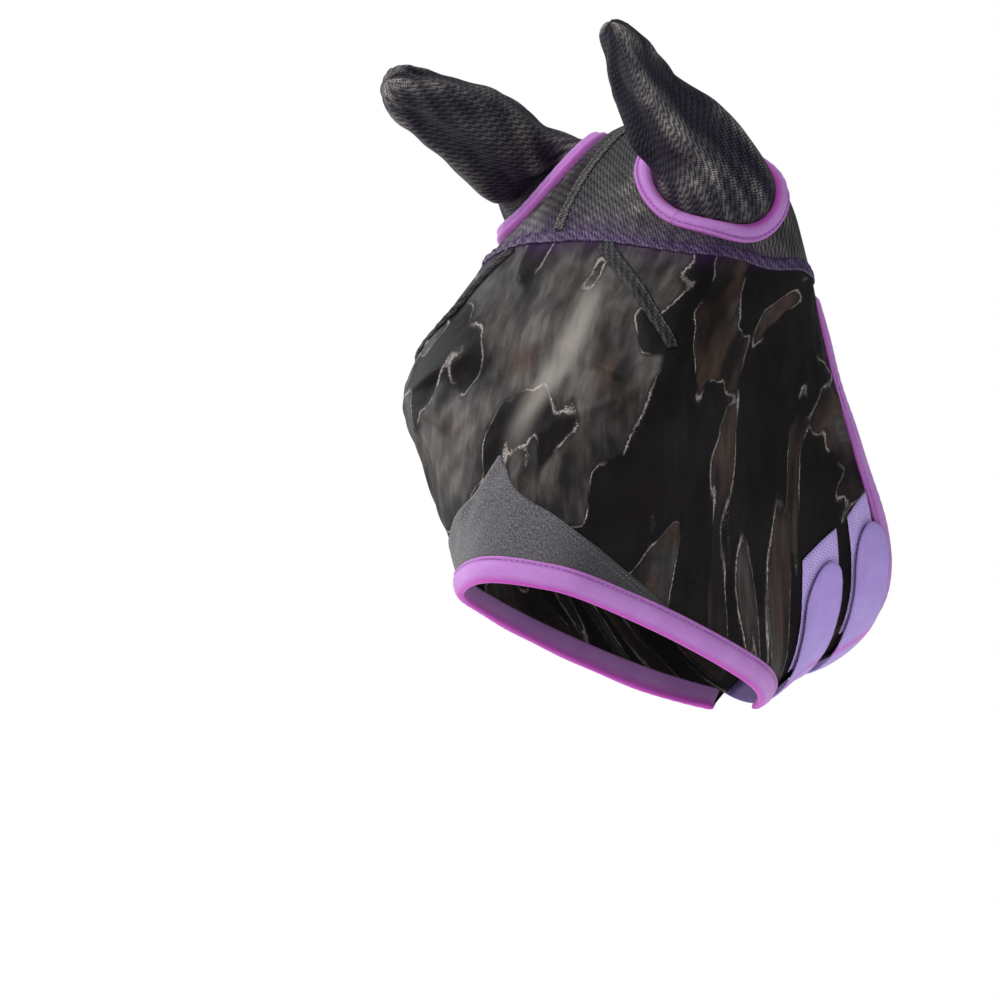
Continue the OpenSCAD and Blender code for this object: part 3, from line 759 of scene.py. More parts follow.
brow_v = evenly(brow_line, 3 * MM)[0][:, 1]
cheek_v = np.linspace(BROW_END[1] + 0.02, NEAR_EDGE_V, 52)[1:]
face_v = np.concatenate([-cheek_v[::-1] * (-OFF_EDGE_V / NEAR_EDGE_V), -brow_v[:0:-1], brow_v, cheek_v])
FACE_ROWS = 150
down = np.linspace(0, 1, FACE_ROWS)[:, None]
top_u = brow_station(face_v)[None]
face_uv = np.stack([top_u + (NOSE_U - top_u) * down, np.broadcast_to(face_v, (FACE_ROWS, len(face_v)))], -1)
# Painted sheen: the face mesh is painted with more sheen towards the middle of the face
slack_and_sheen = 1 - smooth(np.abs(face_uv[..., 1]), 0.9, 2.3)
# Painted highlight: a soft pale strip of sheen painted down the face beside the midline
PALE_STRIP = [(3.42, 0.48), (3.8, 0.46), (4.2, 0.38), (4.6, 0.28), (5.05, 0.14)]
STRIP_HALF_W = 15 * MM
strip_line = skin(curve(PALE_STRIP, np.linspace(0, 4, 30)))
gap, share = line_distance(skin(face_uv.reshape(-1, 2)), strip_line)
pale = (np.clip(1.15 - gap / STRIP_HALF_W, 0, 1) * np.sin(math.pi * np.clip(share, 0.02, 0.98)) ** 0.5)
pale = 0.8 * smooth(pale.reshape(face_uv.shape[:2]), 0, 1)
# The purple brow tape shines through the mesh just below the brow
brow_glow = 0.8 * np.exp(-(np.maximum(0, face_uv[..., 0] - top_u - 0.02) / 0.16) ** 2)
FACE_INNER, FACE_OUTER = 0.25 * MM, 1.05 * MM
face = sheet("face_mesh", on(face_uv, FACE_INNER), on(face_uv, FACE_OUTER),
             values={"slack_and_sheen": slack_and_sheen, "pale": pale, "brow_glow": brow_glow})
finish_piece(face, "face_mesh", ["face_mesh"])

PANEL_SPACE = 0.004
RING_ROWS = 30


def crown_outline():
    middle = evenly([(u, PANEL_SPACE) for u in np.linspace(0.02, 3.02, 60)], 3 * MM)[0]
    front = evenly([(u - 0.012, max(v, PANEL_SPACE)) for u, v in brow_line], 3 * MM)[0]
    rear = evenly([(0, v) for v in np.linspace(2.46, PANEL_SPACE, 50)], 3 * MM)[0]
    return np.concatenate([middle, front, rear])


outline_uv = crown_outline()
offset = outline_uv - EAR_HOLE_AT
hole_uv = EAR_HOLE_AT + offset / np.hypot(*(offset / EAR_HOLE_SPAN / RING_SCALE).T)[:, None]
spoke = (np.linspace(0, 1, RING_ROWS) ** 1.1)[:, None, None]
crown_uv = hole_uv[None] + (outline_uv - hole_uv)[None] * spoke


def weave_on(uv):
    """A weave map for cloth whose grid is uneven, along the form's columns and stations."""
    return np.stack([uv[..., 1] * MM_PER_COLUMN, uv[..., 0] * MM_PER_STATION], -1) * MM


for side, sign in (("near", 1), ("off", -1)):
    uv = crown_uv * (1, sign)
    to_brow = (brow_station(uv[..., 1]) - uv[..., 0]) * MM_PER_STATION
    tint = 0.75 * np.exp(-(np.maximum(to_brow, 0) / 14) ** 2)
    # Painted highlight and shade: the crown is painted lighter where its relief stands out, darker in
    # hollows, and darker near the middle seam as painted shade
    lit = np.clip(0.42 + relief(uv) / (2.2 * MM), 0.05, 1)
    lit = lit * (1 - 0.75 * smooth(-uv[..., 1] * sign, -0.55, -0.1))
    piece = sheet(f"crown_{side}", on(uv, 0.2 * MM), on(uv, MESH_T), weave_on(uv), {"tint": tint, "lit": lit},
                  around=True)
    finish_piece(piece, "crown_mesh", [f"crown_{side}"])


# ---- Tapes and patch ----------------------------------------------------------------------------

def ribbon(name, path, across, low, high, lift=None, turn=1, values=None, rows=11):
    """A tape along a path with rounded edges; lift is extra height over (row, place)."""
    path, run = evenly(path, 2.2 * MM)
    share = np.linspace(0, 1, rows)
    left, right = across
    left, right = np.broadcast_to(left, (len(path),)), np.broadcast_to(right, (len(path),))
    round_off = np.sqrt(np.clip(1 - (1 - np.minimum(1, np.minimum(share, 1 - share) * 6)) ** 2, 0, 1))
    place = np.arange(len(path))
    to_end = np.minimum(1, np.minimum(place, len(path) - 1 - place) / 2)
    ends = np.sqrt(np.clip(1 - (1 - to_end) ** 2, 0, 1))
    outer, inner = [], []
    q = turn * step_across(path, way_along(path))
    extra = np.zeros((rows, len(path))) if lift is None else lift(share[:, None], run[None])
    for k, s in enumerate(share):
        a = left + (right - left) * s
        uv = path + q * a[:, None]
        body = round_off[k] * ends
        outer.append(on(uv, low + (high - low) * (0.35 + 0.65 * body) + extra[k] * body))
        inner.append(on(uv, np.full(len(path), low) + (extra[k] * body) * 0.85))
    return sheet(name, np.array(inner), np.array(outer), values=values), path, run


def sewn(name, path, across, out, thread, pitch=3.6, length=2.5, radius=0.26, turn=1, ring=False, body="mask",
         step=2.0):
    """Rows of stitches beside a path."""
    path = evenly(path, step * MM, ring)[0]
    rows = []
    for a, o in zip(across, out):
        spots = beside_on(path, np.full(len(path), a), np.full(len(path), o), turn, ring)
        q = turn * step_across(path, way_along(path, ring))
        normals = normal(path + q * a)
        rows.append(stitch_row(spots, normals, pitch * MM, length * MM, radius * MM, ring))
    obj = stitching(name, rows)
    return finish_piece(obj, thread, body=body)


seam_path = [(0.3 + 2.68 * s, 0) for s in np.linspace(0, 1, 80)]
piece, _, _ = ribbon("crown_seam_tape", seam_path, (-4 * MM, 4 * MM), TAPE_LO, TAPE_HI,
                     lambda s, r: (-0.42 + 0.04 * np.sin(r / MM * 1.1 + 6 * s)) * MM)
finish_piece(piece, "seam_tape", ["crown_seam_tape"])
piece.data.materials[0] = CROWN_SEAM
sewn("crown_seam_stitches", seam_path[1:-1], (-2.4 * MM, 2.4 * MM), (TAPE_HI - 0.25 * MM,) * 2, GREY_THREAD)

both_brow = np.concatenate([mirrored(brow_line), brow_line[1:]])
brow_cut = both_brow[30:-30]
piece, _, _ = ribbon("brow_tape", brow_cut, (-2.5 * MM, 5.5 * MM), TAPE_LO, TAPE_HI,
                     lambda s, r: (0.30 * np.sin(r / MM * 0.75) * np.exp(-((s - 0.2) / 0.3) ** 2)
                                   + 0.5 * np.exp(-((s - 0.35) / 0.2) ** 2)) * MM)
finish_piece(piece, "brow_tape", ["brow_tape"])
sewn("brow_stitches", brow_cut[6:-6], (-1.3 * MM, 4.4 * MM), (TAPE_HI - 0.1 * MM,) * 2, BLACK_THREAD)

DART_LINE = [(3.06, 0.55), (3.44, 0.88), (3.7, 1.12), (3.9, 1.48)]
dart = curve(DART_LINE, np.linspace(0, 3, 60))
for side, sign in (("near", 1), ("off", -1)):
    path = dart * (1, sign)
    run = np.linspace(1, 0, len(evenly(path, 2.2 * MM)[0]))
    half = (4.2 + 1.8 * run) * MM
    piece, _, _ = ribbon(f"dart_tape_{side}", path, (-half, half), TAPE_LO, TAPE_HI,
                         lambda s, r: (1.5 * np.exp(-((s - (0.72 if sign > 0 else 0.28)) / 0.12) ** 2)
                                       + 0.2 * np.sin(r / MM * 0.8 + 5 * s)) * MM)
    finish_piece(piece, "seam_tape", [f"dart_tape_{side}"])
    sewn(f"dart_stitches_{side}", path[2:-2], (-3.0 * MM, 3.4 * MM), (TAPE_HI, TAPE_HI), BLACK_THREAD)

PATCH_EDGE = [(5.06, 0), (5.34, 0.36), (5.47, 0.9), (5.56, 1.45), (5.63, 2.05), (5.70, 2.5), (5.79, 2.85)]
half_edge = curve(PATCH_EDGE, np.linspace(0, 6, 140))
patch_tops = evenly(np.concatenate([mirrored(half_edge), half_edge[1:]]), 2.2 * MM)[0]
foot_path = np.stack([np.full(len(patch_tops), NOSE_U), patch_tops[:, 1]], -1)
patch_foot = foot_path + step_across(foot_path, way_along(foot_path)) * -(NOSE_W - 2 * MM)
PATCH_ROWS = 22
s = np.linspace(0, 1, PATCH_ROWS)[:, None, None]
patch_uv = patch_tops[None] + (patch_foot - patch_tops)[None] * s
edge = soft_edge(PATCH_ROWS, len(patch_tops), 2, 3)
p = skin(patch_uv)
ripple = 0.25 * MM * waves(p[..., 0], p[..., 2], 22 * MM, 21)
patch_outer = on(patch_uv, TAPE_LO + (0.3 + 0.7 * edge) * MM + ripple * edge)
piece = sheet("nose_patch", on(patch_uv, TAPE_LO), patch_outer, weave_on(patch_uv),
              {"shade": smooth(np.abs(patch_uv[..., 1]), 0.6, 2.5)})
finish_piece(piece, "nose_patch", ["nose_patch"])
sewn("nose_patch_stitches", patch_tops[5:-5], (2.2 * MM, 5.0 * MM), (TAPE_HI, TAPE_HI), BLACK_THREAD)


# ---- Bindings and hems --------------------------------------------------------------------------

def padded_profile(width):
    """Section of a padded binding: (mm in from the edge, mm out), and how deep it lies in the groove."""
    w = width / MM
    return np.array([
        (w, 1.35, 0), (w + 0.1, 2.4, 0), (w - 0.5, 3.3, 0), (w - 1.5, 3.55, 0.3), (w - 2.3, 3.25, 1),
        (w - 3.1, 3.7, 0.3), (w - 4.3, 4.55, 0), (w * 0.52, 5.15, 0), (w * 0.34, 5.1, 0), (w * 0.2, 4.85, 0),
        (0.8, 4.35, 0.2), (-0.2, 3.75, 0.1), (-1.2, 3.3, 0), (-1.9, 2.3, 0), (-2.1, 1.2, 0), (-1.9, 0.1, 0),
        (-1.2, -0.7, 0), (0, -1.15, 0), (w * 0.35, -1.3, 0), (w - 3, -1.25, 0), (w - 1, -1.0, 0),
        (w, -0.6, 0), (w, 0.0, 0),
    ])


def flat_profile(width):
    """Section of a flat folded tape."""
    w = width / MM
    return np.array([
        (w, 1.3, 0), (w, 2.2, 0), (w - 0.6, 2.55, 0), (w - 1.6, 2.35, 1), (w - 2.6, 2.6, 0), (w / 2, 2.75, 0),
        (1, 2.7, 0), (-0.6, 2.5, 0), (-1.4, 1.7, 0), (-1.5, 0.6, 0), (-1.2, -0.6, 0), (-0.4, -1.2, 0),
        (w / 2, -1.35, 0), (w - 1, -1.3, 0), (w, -0.9, 0), (w, 0, 0),
    ])


def binding(name, path, turn, profile, look, nodes, edge_at, ring=False, seed=0,
            swell=0.35):
    """A binding folded over an edge; edge_at is how deep its colour and its painted edge shade are at each
    section point.
    """
    path, run = evenly(path, 2.0 * MM, ring)
    rng_run = run / MM
    q = turn * step_across(path, way_along(path, ring))
    su, sv = slopes(path)
    past = unit(su * q[:, :1] + sv * q[:, 1:])
    columns = []
    length = rng_run[-1] + 2.0
    for k, (a, o, g) in enumerate(profile):
        ripple = (swell * np.sin(rng_run * 2 * math.pi * round(length / 7.5) / length + 0.35 * k) * (0.4 + g)
                  * (0.5 + 0.5 * np.sin(rng_run * 2 * math.pi * 3 / length + seed)))
        broad = 0.35 * np.sin(rng_run * 2 * math.pi * max(2, round(length / 60)) / length + seed * 1.7)
        out = (o + (ripple + broad if o > 0.5 else 0)) * MM
        if not ring:
            cap = np.minimum(1, np.minimum(np.arange(len(path)), len(path) - 1 - np.arange(len(path))) / 2.0)
            middle = 1.6 * MM
            out = middle + (out - middle) * (0.55 + 0.45 * np.sqrt(1 - (1 - cap) ** 2))
        across = np.full(len(path), a * MM)
        uv = path + q * np.maximum(across, 0)[:, None]
        columns.append(at(uv, out) + np.minimum(across, 0)[:, None] * past)
    sections = np.stack(columns, 1)
    around = np.concatenate([[0], np.cumsum(np.linalg.norm(np.diff(profile[:, :2], axis=0), axis=1))]) * MM
    uv = np.stack(np.broadcast_arrays(run[:, None], around[None]), -1)
    tile = lambda x: np.broadcast_to(np.asarray(x)[None], (len(path), len(profile))).ravel()
    obj = tube(name, sections, uv, {"edge": tile(edge_at(profile)), "groove": tile(profile[:, 2])}, ring)
    return finish_piece(obj, look, nodes), path


def magenta_both(profile):
    """Deeper magenta along both edges of a binding, partly its own colour and partly painted shade where it
    turns over the edge.
    """
    lip = smooth(profile[:, 0], profile[0, 0] - 0.9, profile[0, 0])
    return np.maximum(smooth(-profile[:, 0], -1.5, 0.5) * 0.9, 0.5 * lip)


def plain(profile):
    return np.zeros(len(profile))


# Stitches of the padded bindings: how far in from the edge, how far out, and their pitch and length
STITCH_IN, STITCH_OUT = 2.3 * MM, 3.35 * MM
BINDING_STITCH = {"pitch": 4.2, "length": 3.0, "radius": 0.3}
nose_path = [(NOSE_U, v) for v in np.linspace(OFF_EDGE_V, NEAR_EDGE_V, 400)]
binding("nose_binding", nose_path, -1, padded_profile(NOSE_W), "purple_binding",
        ["nose_binding", "nose_padding"], magenta_both, seed=1)
sewn("nose_binding_stitches", nose_path[3:-3], (NOSE_W - STITCH_IN,), (STITCH_OUT,), PURPLE_THREAD, turn=-1,
     **BINDING_STITCH)

for side, end, sign in (("near", NEAR_EDGE_V, 1), ("off", -OFF_EDGE_V, -1)):
    path = np.array([(0, v) for v in np.linspace(BROW_END[1] + 0.03, end, 240)]) * (1, sign)
    binding(f"rear_binding_{side}", path, sign, padded_profile(REAR_W), "purple_binding",
            [f"rear_binding_{side}", f"rear_padding_{side}"], magenta_both, seed=2 + sign)
    sewn(f"rear_binding_stitches_{side}", path[3:-3], (REAR_W - STITCH_IN,), (STITCH_OUT,), PURPLE_THREAD,
         turn=sign, **BINDING_STITCH)
    edge_v = NEAR_EDGE_V if sign > 0 else OFF_EDGE_V
    path = [(u, edge_v) for u in np.linspace(NOSE_U * 3 / 14 - 0.9, NOSE_U * 12.3 / 14, 160)]
    binding(f"jaw_hem_{side}", path, sign, flat_profile(HEM_W), "black_hem", [f"jaw_hem_{side}"], plain,
            seed=4, swell=0.2)
    sewn(f"jaw_hem_stitches_{side}", path[3:-3], (HEM_W - 1.6 * MM,), (2.35 * MM,), BLACK_THREAD, turn=sign)

rear_hem_path = [(0, v) for v in np.linspace(-2.34, 2.34, 300)]
binding("crown_rear_hem", rear_hem_path, 1, flat_profile(HEM_W), "black_hem", ["crown_rear_hem"], plain,
        seed=5, swell=0.2)
sewn("crown_rear_hem_stitches", rear_hem_path[3:-3], (HEM_W - 1.6 * MM,), (2.35 * MM,), BLACK_THREAD)

ring_angle = np.linspace(0, 2 * math.pi, 240, endpoint=False)
ring_base = EAR_HOLE_AT + EAR_HOLE_SPAN * RING_SCALE * np.stack([np.cos(ring_angle), np.sin(ring_angle)], -1)
for side, sign in (("near", 1), ("off", -1)):
    path = ring_base if sign > 0 else mirrored(ring_base)
    profile = padded_profile(RING_W)
    profile[:, 1] *= np.where(profile[:, 1] > 0, 1.1 if sign > 0 else 1.75, 1)
    binding(f"ear_ring_{side}", path, 1, profile, "purple_binding",
            [f"ear_ring_{side}", f"ear_ring_padding_{side}"], magenta_both, ring=True,
            seed=6 + sign)
    groove_out = profile[4, 1] * MM + 0.1 * MM
    sewn(f"ear_ring_stitches_{side}", path, (RING_W - STITCH_IN,), (groove_out,), PURPLE_THREAD, pitch=4.0,
         length=2.8, radius=0.28, ring=True)


# ---- Ear covers ---------------------------------------------------------------------------------

EAR_LENGTH, EAR_HALF_W = 160 * MM, 33 * MM
EAR_ANGLES = {"near": (39, 12), "off": (23, 6)}
# [share of the length, half width across the ridges, half width through them], against EAR_HALF_W
EAR_TAPER = {
    "near": [(0, 1, 0.9), (0.14, 0.99, 0.86), (0.31, 0.98, 0.76), (0.42, 0.82, 0.66), (0.52, 0.67, 0.56),
             (0.79, 0.50, 0.42), (0.93, 0.33, 0.27), (1, 0.2, 0.17)],
    "off": [(0, 1, 0.9), (0.15, 1.0, 0.88), (0.36, 1.0, 0.88), (0.58, 0.84, 0.80), (0.82, 0.60, 0.60),
            (0.93, 0.48, 0.46), (1, 0.32, 0.28)],
}
RIDGE_TURN, EAR_VIEW = 45, np.array([1, -1, 0.0])
# How each ear cover bends, as (mm along the diagonal between +X and +Y, mm up): at its middle and its tip
EAR_BEND = {"near": ((-9.0, 2.0), (-6.0, -3.0)), "off": ((1.5, 3.5), (1.0, 2.5))}
# Turns of each ear cover's crest and of the hollows beside it, with their depths
EAR_CREST = {"near": (0.05, 0.20), "off": (-1.0, 0.14)}
EAR_HOLLOWS = {"near": ((0.85, 0.42, 0.16), (-0.95, 0.45, 0.34)),
               "off": ((-0.2, 0.35, 0.20), (-1.75, 0.36, 0.18))}
EAR_CENTRE = skin(np.array([EAR_HOLE_AT]))[0]
EAR_NORMAL = normal(np.array([EAR_HOLE_AT]))[0]
EAR_WALL = 0.8 * MM
ROUND_FROM = 0.95


def ear_relief(side, s, turn):
    """Swell of an ear cover as a factor, and its folds in mm."""
    middle = smooth(s, 0.06, 0.26) * (1 - smooth(s, 0.78, 0.99))
    near_turn = lambda at_turn, width: np.exp(-(np.angle(np.exp(1j * (turn - at_turn))) / width) ** 2)
    crest_at, crest_by = EAR_CREST[side]
    swell = 1 + crest_by * middle * near_turn(crest_at, 0.26) + 0.08 * middle * near_turn(math.pi, 0.3)
    for hollow_at, width, depth in EAR_HOLLOWS[side]:
        swell = swell - depth * middle * near_turn(hollow_at + 0.25 * (s - 0.4), width)
    seed = 31 if side == "near" else 37
    x, y, run = 24 * MM * np.cos(turn), 24 * MM * np.sin(turn), s * EAR_LENGTH
    slack_and_sheen = 2.3 * waves(x - 0.3 * run, y + 0.45 * run, 34 * MM, seed) \
        + 1.1 * waves(x + 0.3 * run, y - 0.5 * run, 15 * MM, seed + 1)
    pleats = 1.3 * np.sin(turn * 14 + 1.5 * np.sin(turn * 2)) * np.exp(-((s - 0.10) / 0.08) ** 2)
    return swell, slack_and_sheen * smooth(s, 0.02, 0.2) * (0.6 + 0.4 * smooth(np.abs(s - 0.55), 0.1, 0.4)) + pleats


def ear_points(side, s, turn, inset):
    """Points of an ear cover: share of its length, angle round it in radians, distance in from its face."""
    lift, splay = np.radians(EAR_ANGLES[side])
    way = np.array([math.sin(splay), -math.cos(splay) * math.cos(lift), math.cos(splay) * math.sin(lift)])
    ridge = unit(EAR_VIEW - (EAR_VIEW @ way) * way)
    beam = np.cross(way, ridge)
    taper = np.array(EAR_TAPER[side])
    widths = curve(taper, np.interp(s, taper[:, 0], np.arange(len(taper)))) * EAR_HALF_W
    wide, deep = widths[..., 1], widths[..., 2]
    tip = np.sqrt(np.clip(1 - np.clip((s - ROUND_FROM) / (1 - ROUND_FROM), 0, 0.999) ** 2, 0.002, 1))
    swell, folds = ear_relief(side, s, turn)
    folds = folds * np.minimum(1, tip + 0.1) * MM
    leaf = ((ridge * (np.cos(turn) * (deep * swell * tip + folds - inset))[..., None])
            + beam * (np.sin(turn) * (wide * swell * tip + folds - inset))[..., None])
    run = s * EAR_LENGTH
    a = turn + math.radians(RIDGE_TURN)
    rim_uv = EAR_HOLE_AT + EAR_HOLE_SPAN * RING_SCALE * 0.97 * np.stack([np.cos(a), np.sin(a)], -1)
    rim = at(rim_uv, 2.0 * MM - inset * 0.2) + EAR_NORMAL * (run * 0.85)[..., None]
    blend = smooth(s, 0.0, 0.27)[..., None]
    points = rim * (1 - blend) + (EAR_CENTRE + way * run[..., None] + leaf) * blend
    inward = unit(EAR_CENTRE + EAR_NORMAL * (run * 0.85)[..., None] - rim)
    points = points + inward * (inset * (1 - blend[..., 0]))[..., None]
    if side == "off":
        points = points * (-1, 1, 1)
    middle, end = (np.array([x * math.sqrt(0.5), x * math.sqrt(0.5), z]) * MM for x, z in EAR_BEND[side])
    return points + (np.sin(math.pi * s) ** 1.5)[..., None] * middle + (s ** 1.5)[..., None] * end


ear_shares = np.concatenate([np.linspace(0.0, 0.3, 26)[:-1], np.linspace(0.3, 0.93, 44)[:-1],
                             1 - 0.07 * (1 - np.linspace(0, 1, 13)) ** 1.6])
for side, sign in (("near", 1), ("off", -1)):
    start = (EAR_CENTRE + EAR_NORMAL * 4 * MM) * (sign, 1, 1)
    end = (EAR_CENTRE + EAR_NORMAL * 40 * MM) * (sign, 1, 1)
    for half, first in (("front", -math.pi), ("back", 0.0)):
        turns = first + np.linspace(-0.015, math.pi + 0.015, 60)
        s, t = np.meshgrid(ear_shares, turns, indexing="ij")
        outer, inner = ear_points(side, s, t, 0 * s), ear_points(side, s, t, 0 * s + EAR_WALL)
        flat_uv = np.stack([(t - first - math.pi / 2) * 26 * MM * (1.05 - 0.55 * s), s * EAR_LENGTH], -1)
        swell, folds = ear_relief(side, s, t)
        # Painted highlight and shade: the crest and raised folds of the ear cover are painted lighter, its
        # hollows darker
        lit = np.clip(0.22 + 3.6 * (swell - 1) + folds / 3.4, 0.02, 1.2)
        piece = sheet(f"ear_{side}_{half}", inner, outer, flat_uv, {"tint": 0.12, "lit": lit})
        finish_piece(piece, "crown_mesh", [f"ear_{side}_{half}"], body=("mask", f"ear_{side}"),
                     ends=(start, end))
    tape_rows, tape_inner = [], []
    for ridge, shares in ((0, np.linspace(0.08, 0.95, 60)), (math.pi, np.linspace(0.95, 0.08, 60))):
        wide = np.interp(shares, *np.array(EAR_TAPER[side])[:, :2].T) * EAR_HALF_W
        half_turn = np.minimum(0.85, 3.5 * MM / wide) * (1 if ridge == 0 else -1)
        k = np.linspace(-1, 1, 5)
        turn = ridge + k[None] * half_turn[:, None]
        s = np.broadcast_to(shares[:, None], turn.shape) - 2.4 * MM / EAR_LENGTH
        tape_rows.append(ear_points(side, s, turn, 0 * s + 1.5 * MM))
        tape_inner.append(ear_points(side, s, turn, 0 * s + 2.3 * MM))
    piece = sheet(f"ear_seam_tape_{side}", np.concatenate(tape_inner), np.concatenate(tape_rows))
    finish_piece(piece, "seam_tape", [f"ear_{side}_seam_tape"], body=("mask", f"ear_{side}"),
                 ends=(start, end))
    rows = []
    for turn in (0.0, math.pi):
        shares = np.linspace(0.1, 0.96, 120)
        for off in (-0.11, 0.11):
            line = ear_points(side, shares, turn + off * (1 + shares), 0 * shares)
            core = ear_points(side, shares, turn + off * (1 + shares), 0 * shares + 2 * MM)
            rows.append(stitch_row(line, unit(line - core), 3.2 * MM, 2.1 * MM, 0.22 * MM))
    finish_piece(stitching(f"ear_stitches_{side}", rows), BLACK_THREAD, body=("mask", f"ear_{side}"),
                 ends=(start, end))


# ---- Throat straps ------------------------------------------------------------------------------

def station_at(c, v):
    """Station at which columns meet the plane c along STRAP_AXIS."""
    low, high = np.full(v.shape, -1.0), np.full(v.shape, 7.0)
    for _ in range(22):
        middle = (low + high) / 2
        behind = skin(np.stack([middle, v], -1)) @ STRAP_AXIS > c
        low, high = np.where(behind, middle, low), np.where(behind, high, middle)
    return (low + high) / 2


def strap_uv(rear_c, width, tops, foot, tip=0.0, rows=19, step=0.022):
    """Grid of a stretch of strap: rows across it from rear to front, columns from its top to its foot."""
    share = np.linspace(0, 1, rows)
    off = 2 * share - 1
    top = tops[1] + (tops[0] - tops[1]) * share + tip * (1 - np.sqrt(np.maximum(0, 1 - off ** 2)))
    t = np.linspace(0, 1, max(8, round((foot - min(tops)) / step)))
    v = top[:, None] + (foot - top)[:, None] * t[None]
    c = rear_c - width * share
    return np.stack([station_at(np.broadcast_to(c[:, None], v.shape), v), v], -1)


def strap(name, uv, low, high, look, nodes, body, seed, top_open=True, foot_open=True, ends=None,
          fold_at=None, curl=0.0):
    """A stretch of strap between two layers, with rounded sides and open ends."""
    rows, cols = uv.shape[:2]
    i, j = np.meshgrid(np.arange(rows), np.arange(cols), indexing="ij")
    to_side = np.minimum(1, np.minimum(i, rows - 1 - i) / 1.5)
    to_end = np.minimum(1, np.minimum(j if top_open else 99, cols - 1 - j if foot_open else 99) / 2.0)
    body_of = np.sqrt(1 - (1 - np.minimum(to_side, to_end)) ** 2)
    p = skin(uv)
    wave = (0.28 * MM * waves(p[..., 1], p[..., 2], 26 * MM, seed)
            + 0.12 * MM * waves(p[..., 1], p[..., 2], 7 * MM, seed + 1))
    lift = curl * MM * (np.abs(2 * i / (rows - 1) - 1) ** 4) * np.exp(-((j - 2) / 9.0) ** 2) if curl else 0
    outer = at(uv, low + (high - low) * (0.45 + 0.55 * body_of) + wave + lift)
    inner = at(uv, low + wave * 0.7 + lift)
    # Painted shade with a painted magenta reflection along the fold at fold_at
    painted_light_field = np.zeros((rows, cols))
    if fold_at is not None:
        painted_light_field = 0.85 * np.exp(-((uv[..., 1] - fold_at) / 0.05) ** 2)
    obj = sheet(name, inner, outer, values={"edge": painted_light_field})
    finish_piece(obj, look, nodes, body=body, ends=ends)
    return obj


def strap_stitches(name, rows_of_uv, out, thread, body, pitch=3.4, length=2.4, ends=None):
    rows = [stitch_row(at(path, np.full(len(path), out)), normal(path), pitch * MM, length * MM, 0.26 * MM)
            for path in rows_of_uv]
    return finish_piece(stitching(name, rows), thread, body=body, ends=ends)


def hinge_line(rear_c, v):
    """Middle of a strap at a column, and the step along the strap there, 1 m long."""
    spot = np.array([v])
    c = np.array([rear_c - STRAP_W / 2])
    here = at(np.stack([station_at(c, spot), spot], -1), 5.7 * MM)[0]
    there = at(np.stack([station_at(c, spot + 0.05), spot + 0.05], -1), 5.7 * MM)[0]
    return here, unit(there - here)


# The pieces of each strap, with their stitches
for k, name in enumerate(("front", "rear")):
    c = STRAP_C[name]
    cover = BAND_COVER if name == "rear" else 0.0
    tab_at, tab_way = hinge_line(c, TAB_HINGE_V)
    sewn_at, sewn_way = hinge_line(c, SEWN_HINGE_V)
    reach = 8 * MM
    free = strap_uv(c, STRAP_W, (TAB_TIP_V, TAB_TIP_V), SPLIT_V, ROUND_END, rows=25)
    free_ends = (tab_at + tab_way * reach, tab_at - tab_way * reach)
    strap(f"strap_{name}_free_end", free, STRAP_LO, STRAP_HI, "webbing",
          [f"strap_{name}_tab", f"strap_{name}_webbing"], (f"strap_{name}", f"tab_{name}"),
          41 + k, foot_open=False, ends=free_ends, fold_at=4.50, curl=0.5)
    border = [free[2, 4:], free[-3, 4:]]
    arc = free[2:-2, 3]
    strap_stitches(f"strap_{name}_stitches", [arc, *border], STRAP_HI, LILAC_THREAD,
                   (f"strap_{name}", f"tab_{name}"), ends=free_ends)
    sewn_end = strap_uv(c, STRAP_W, (SPLIT_V, SPLIT_V), SEWN_END_V)
    sewn_ends = (sewn_at + sewn_way * reach, sewn_at - sewn_way * reach)
    strap(f"strap_{name}_sewn_part", sewn_end, STRAP_LO, STRAP_HI, "webbing", [f"strap_{name}_sewn_end"],
          ("mask", f"strap_{name}"), 51 + k, top_open=False, ends=sewn_ends)
    cross = [strap_uv(c - 3 * MM, STRAP_W - 6 * MM, (v, v), v + 0.02, rows=19)[:, 0] for v in (5.62, 5.80)]
    strap_stitches(f"strap_{name}_sewn_stitches", cross, STRAP_HI, LILAC_THREAD, "mask")
    edge = 1.5 * MM
    top = TAB_TIP_V + 0.02
    hook = strap_uv(c - cover - edge, STRAP_W - cover - 2 * edge, (top, top), TAB_HINGE_V - 0.12, ROUND_END)
    strap(f"hook_pad_{name}", hook, HOOK_LO, HOOK_HI, "hook_tape", [f"strap_{name}_hook_pad"], f"tab_{name}",
          61 + k)
    tops = PATCH_TOP[name]
    loop = strap_uv(c - cover, STRAP_W - cover, tops, TAB_HINGE_V - 0.1)
    strap(f"loop_patch_{name}", loop, TAPE_LO, TAPE_HI, "loop_tape", [f"strap_{name}_loop_patch"], "mask",
          71 + k)
    rows = [loop[2:-2, 3], loop[2, 3:-2], loop[-3, 3:-2]]
    strap_stitches(f"loop_patch_stitches_{name}", rows, TAPE_HI, LILAC_THREAD, "mask")


# ---- CAD nodes, floor, light and camera ---------------------------------------------------------

for node, obj in frame["nodes"].items():
    mesh = obj.data
    if "weave" not in mesh.uv_layers:
        places = np.zeros(3 * len(mesh.vertices))
        mesh.vertices.foreach_get("co", places)
        places = places.reshape(-1, 3)
        corners = np.zeros(len(mesh.loops), np.int32)
        mesh.loops.foreach_get("vertex_index", corners)
        flat_map = np.stack([places[:, 0] + 0.7 * places[:, 1], places[:, 2] - 0.5 * places[:, 1]], -1)
        mesh.uv_layers.new(name="weave").data.foreach_set("uv", flat_map[corners].astype(np.float32).ravel())
    mesh.materials.clear()
    mesh.materials.append(LOOK[SLOT_OF[node]])


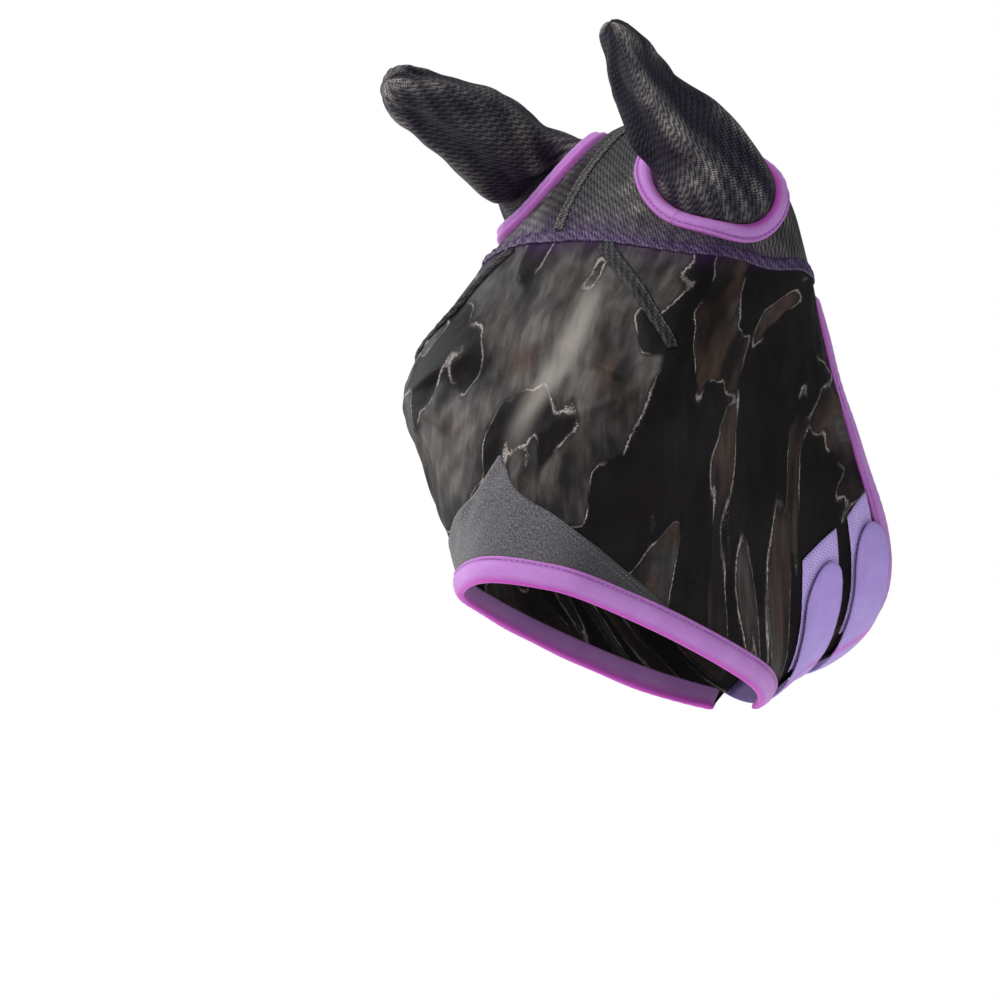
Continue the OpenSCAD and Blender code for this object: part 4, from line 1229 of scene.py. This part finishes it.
def floor():
    n = Nodes("floor")
    split = n.tree.nodes.new("ShaderNodeTexCoord")
    n.flat = split.outputs["Object"]
    grain = n.noise(40.0, 4.0, 0.6)
    n.set(Base_Color=n.mix(n.ramp(grain, 0.3, 0.7), (0.86, 0.86, 0.86), (0.90, 0.90, 0.90)), Roughness=0.8,
          Emission_Color=(1, 1, 1, 1), Emission_Strength=0.3)
    turn = np.linspace(0, 2 * math.pi, 96, endpoint=False)
    rim = np.stack([6 * np.cos(turn), 6 * np.sin(turn), np.full(96, -0.9)], -1)
    obj = make("floor", rim, [tuple(range(96))])
    if obj.data.polygons[0].normal.z < 0:
        obj.data.flip_normals()
    obj.data.materials.append(n.material)


floor()

scene = bpy.context.scene
world = bpy.data.worlds.new("studio")
scene.world = world
world.use_nodes = True
tree = world.node_tree
tree.nodes.clear()
seen, lit = tree.nodes.new("ShaderNodeBackground"), tree.nodes.new("ShaderNodeBackground")
seen.inputs[0].default_value, seen.inputs[1].default_value = (1, 1, 1, 1), 1.0
lit.inputs[0].default_value, lit.inputs[1].default_value = (0.97, 0.98, 1.0, 1), 0.22
path_kind, either = tree.nodes.new("ShaderNodeLightPath"), tree.nodes.new("ShaderNodeMixShader")
world_out = tree.nodes.new("ShaderNodeOutputWorld")
tree.links.new(path_kind.outputs["Is Camera Ray"], either.inputs[0])
tree.links.new(lit.outputs[0], either.inputs[1])
tree.links.new(seen.outputs[0], either.inputs[2])
tree.links.new(either.outputs[0], world_out.inputs[0])

AIM_RIGHT = np.array([math.sqrt(0.5), math.sqrt(0.5), 0])
TILT = math.radians(-3)
BACK = np.array([math.cos(TILT) * math.sqrt(0.5), -math.cos(TILT) * math.sqrt(0.5), math.sin(TILT)])
UP = np.cross(BACK, AIM_RIGHT)


def look_from(obj, place, target):
    way = Vector(target) - Vector(place)
    obj.location = place
    obj.rotation_euler = way.to_track_quat("-Z", "Y").to_euler()


def area_light(name, right, up, back, size, power, colour, target=(0, 0, -0.2)):
    data = bpy.data.lights.new(name, "AREA")
    data.shape, data.size, data.energy, data.color = "DISK", size, power, colour
    obj = bpy.data.objects.new(name, data)
    scene.collection.objects.link(obj)
    look_from(obj, AIM_RIGHT * right + UP * up + BACK * back, target)


area_light("key", -2.1, 1.7, 1.3, 1.0, 92, (1.0, 0.98, 0.96))
area_light("fill", 1.9, 0.3, 2.0, 1.8, 22, (0.95, 0.97, 1.0))
area_light("top", -0.2, 2.3, -0.2, 1.8, 34, (1.0, 1.0, 1.0))
area_light("rim", -1.8, 0.4, -1.4, 1.2, 24, (1.0, 1.0, 1.0))

camera = bpy.data.objects.new("camera", bpy.data.cameras.new("camera"))
camera.data.lens, camera.data.sensor_width = 1000, 36
camera.data.clip_end = 60
scene.collection.objects.link(camera)
AIM = AIM_RIGHT * -0.113 + UP * -0.252
look_from(camera, AIM + BACK * 18.889, AIM)
scene.camera = camera
scene.view_settings.view_transform = "Standard"

bpy.context.view_layer.update()
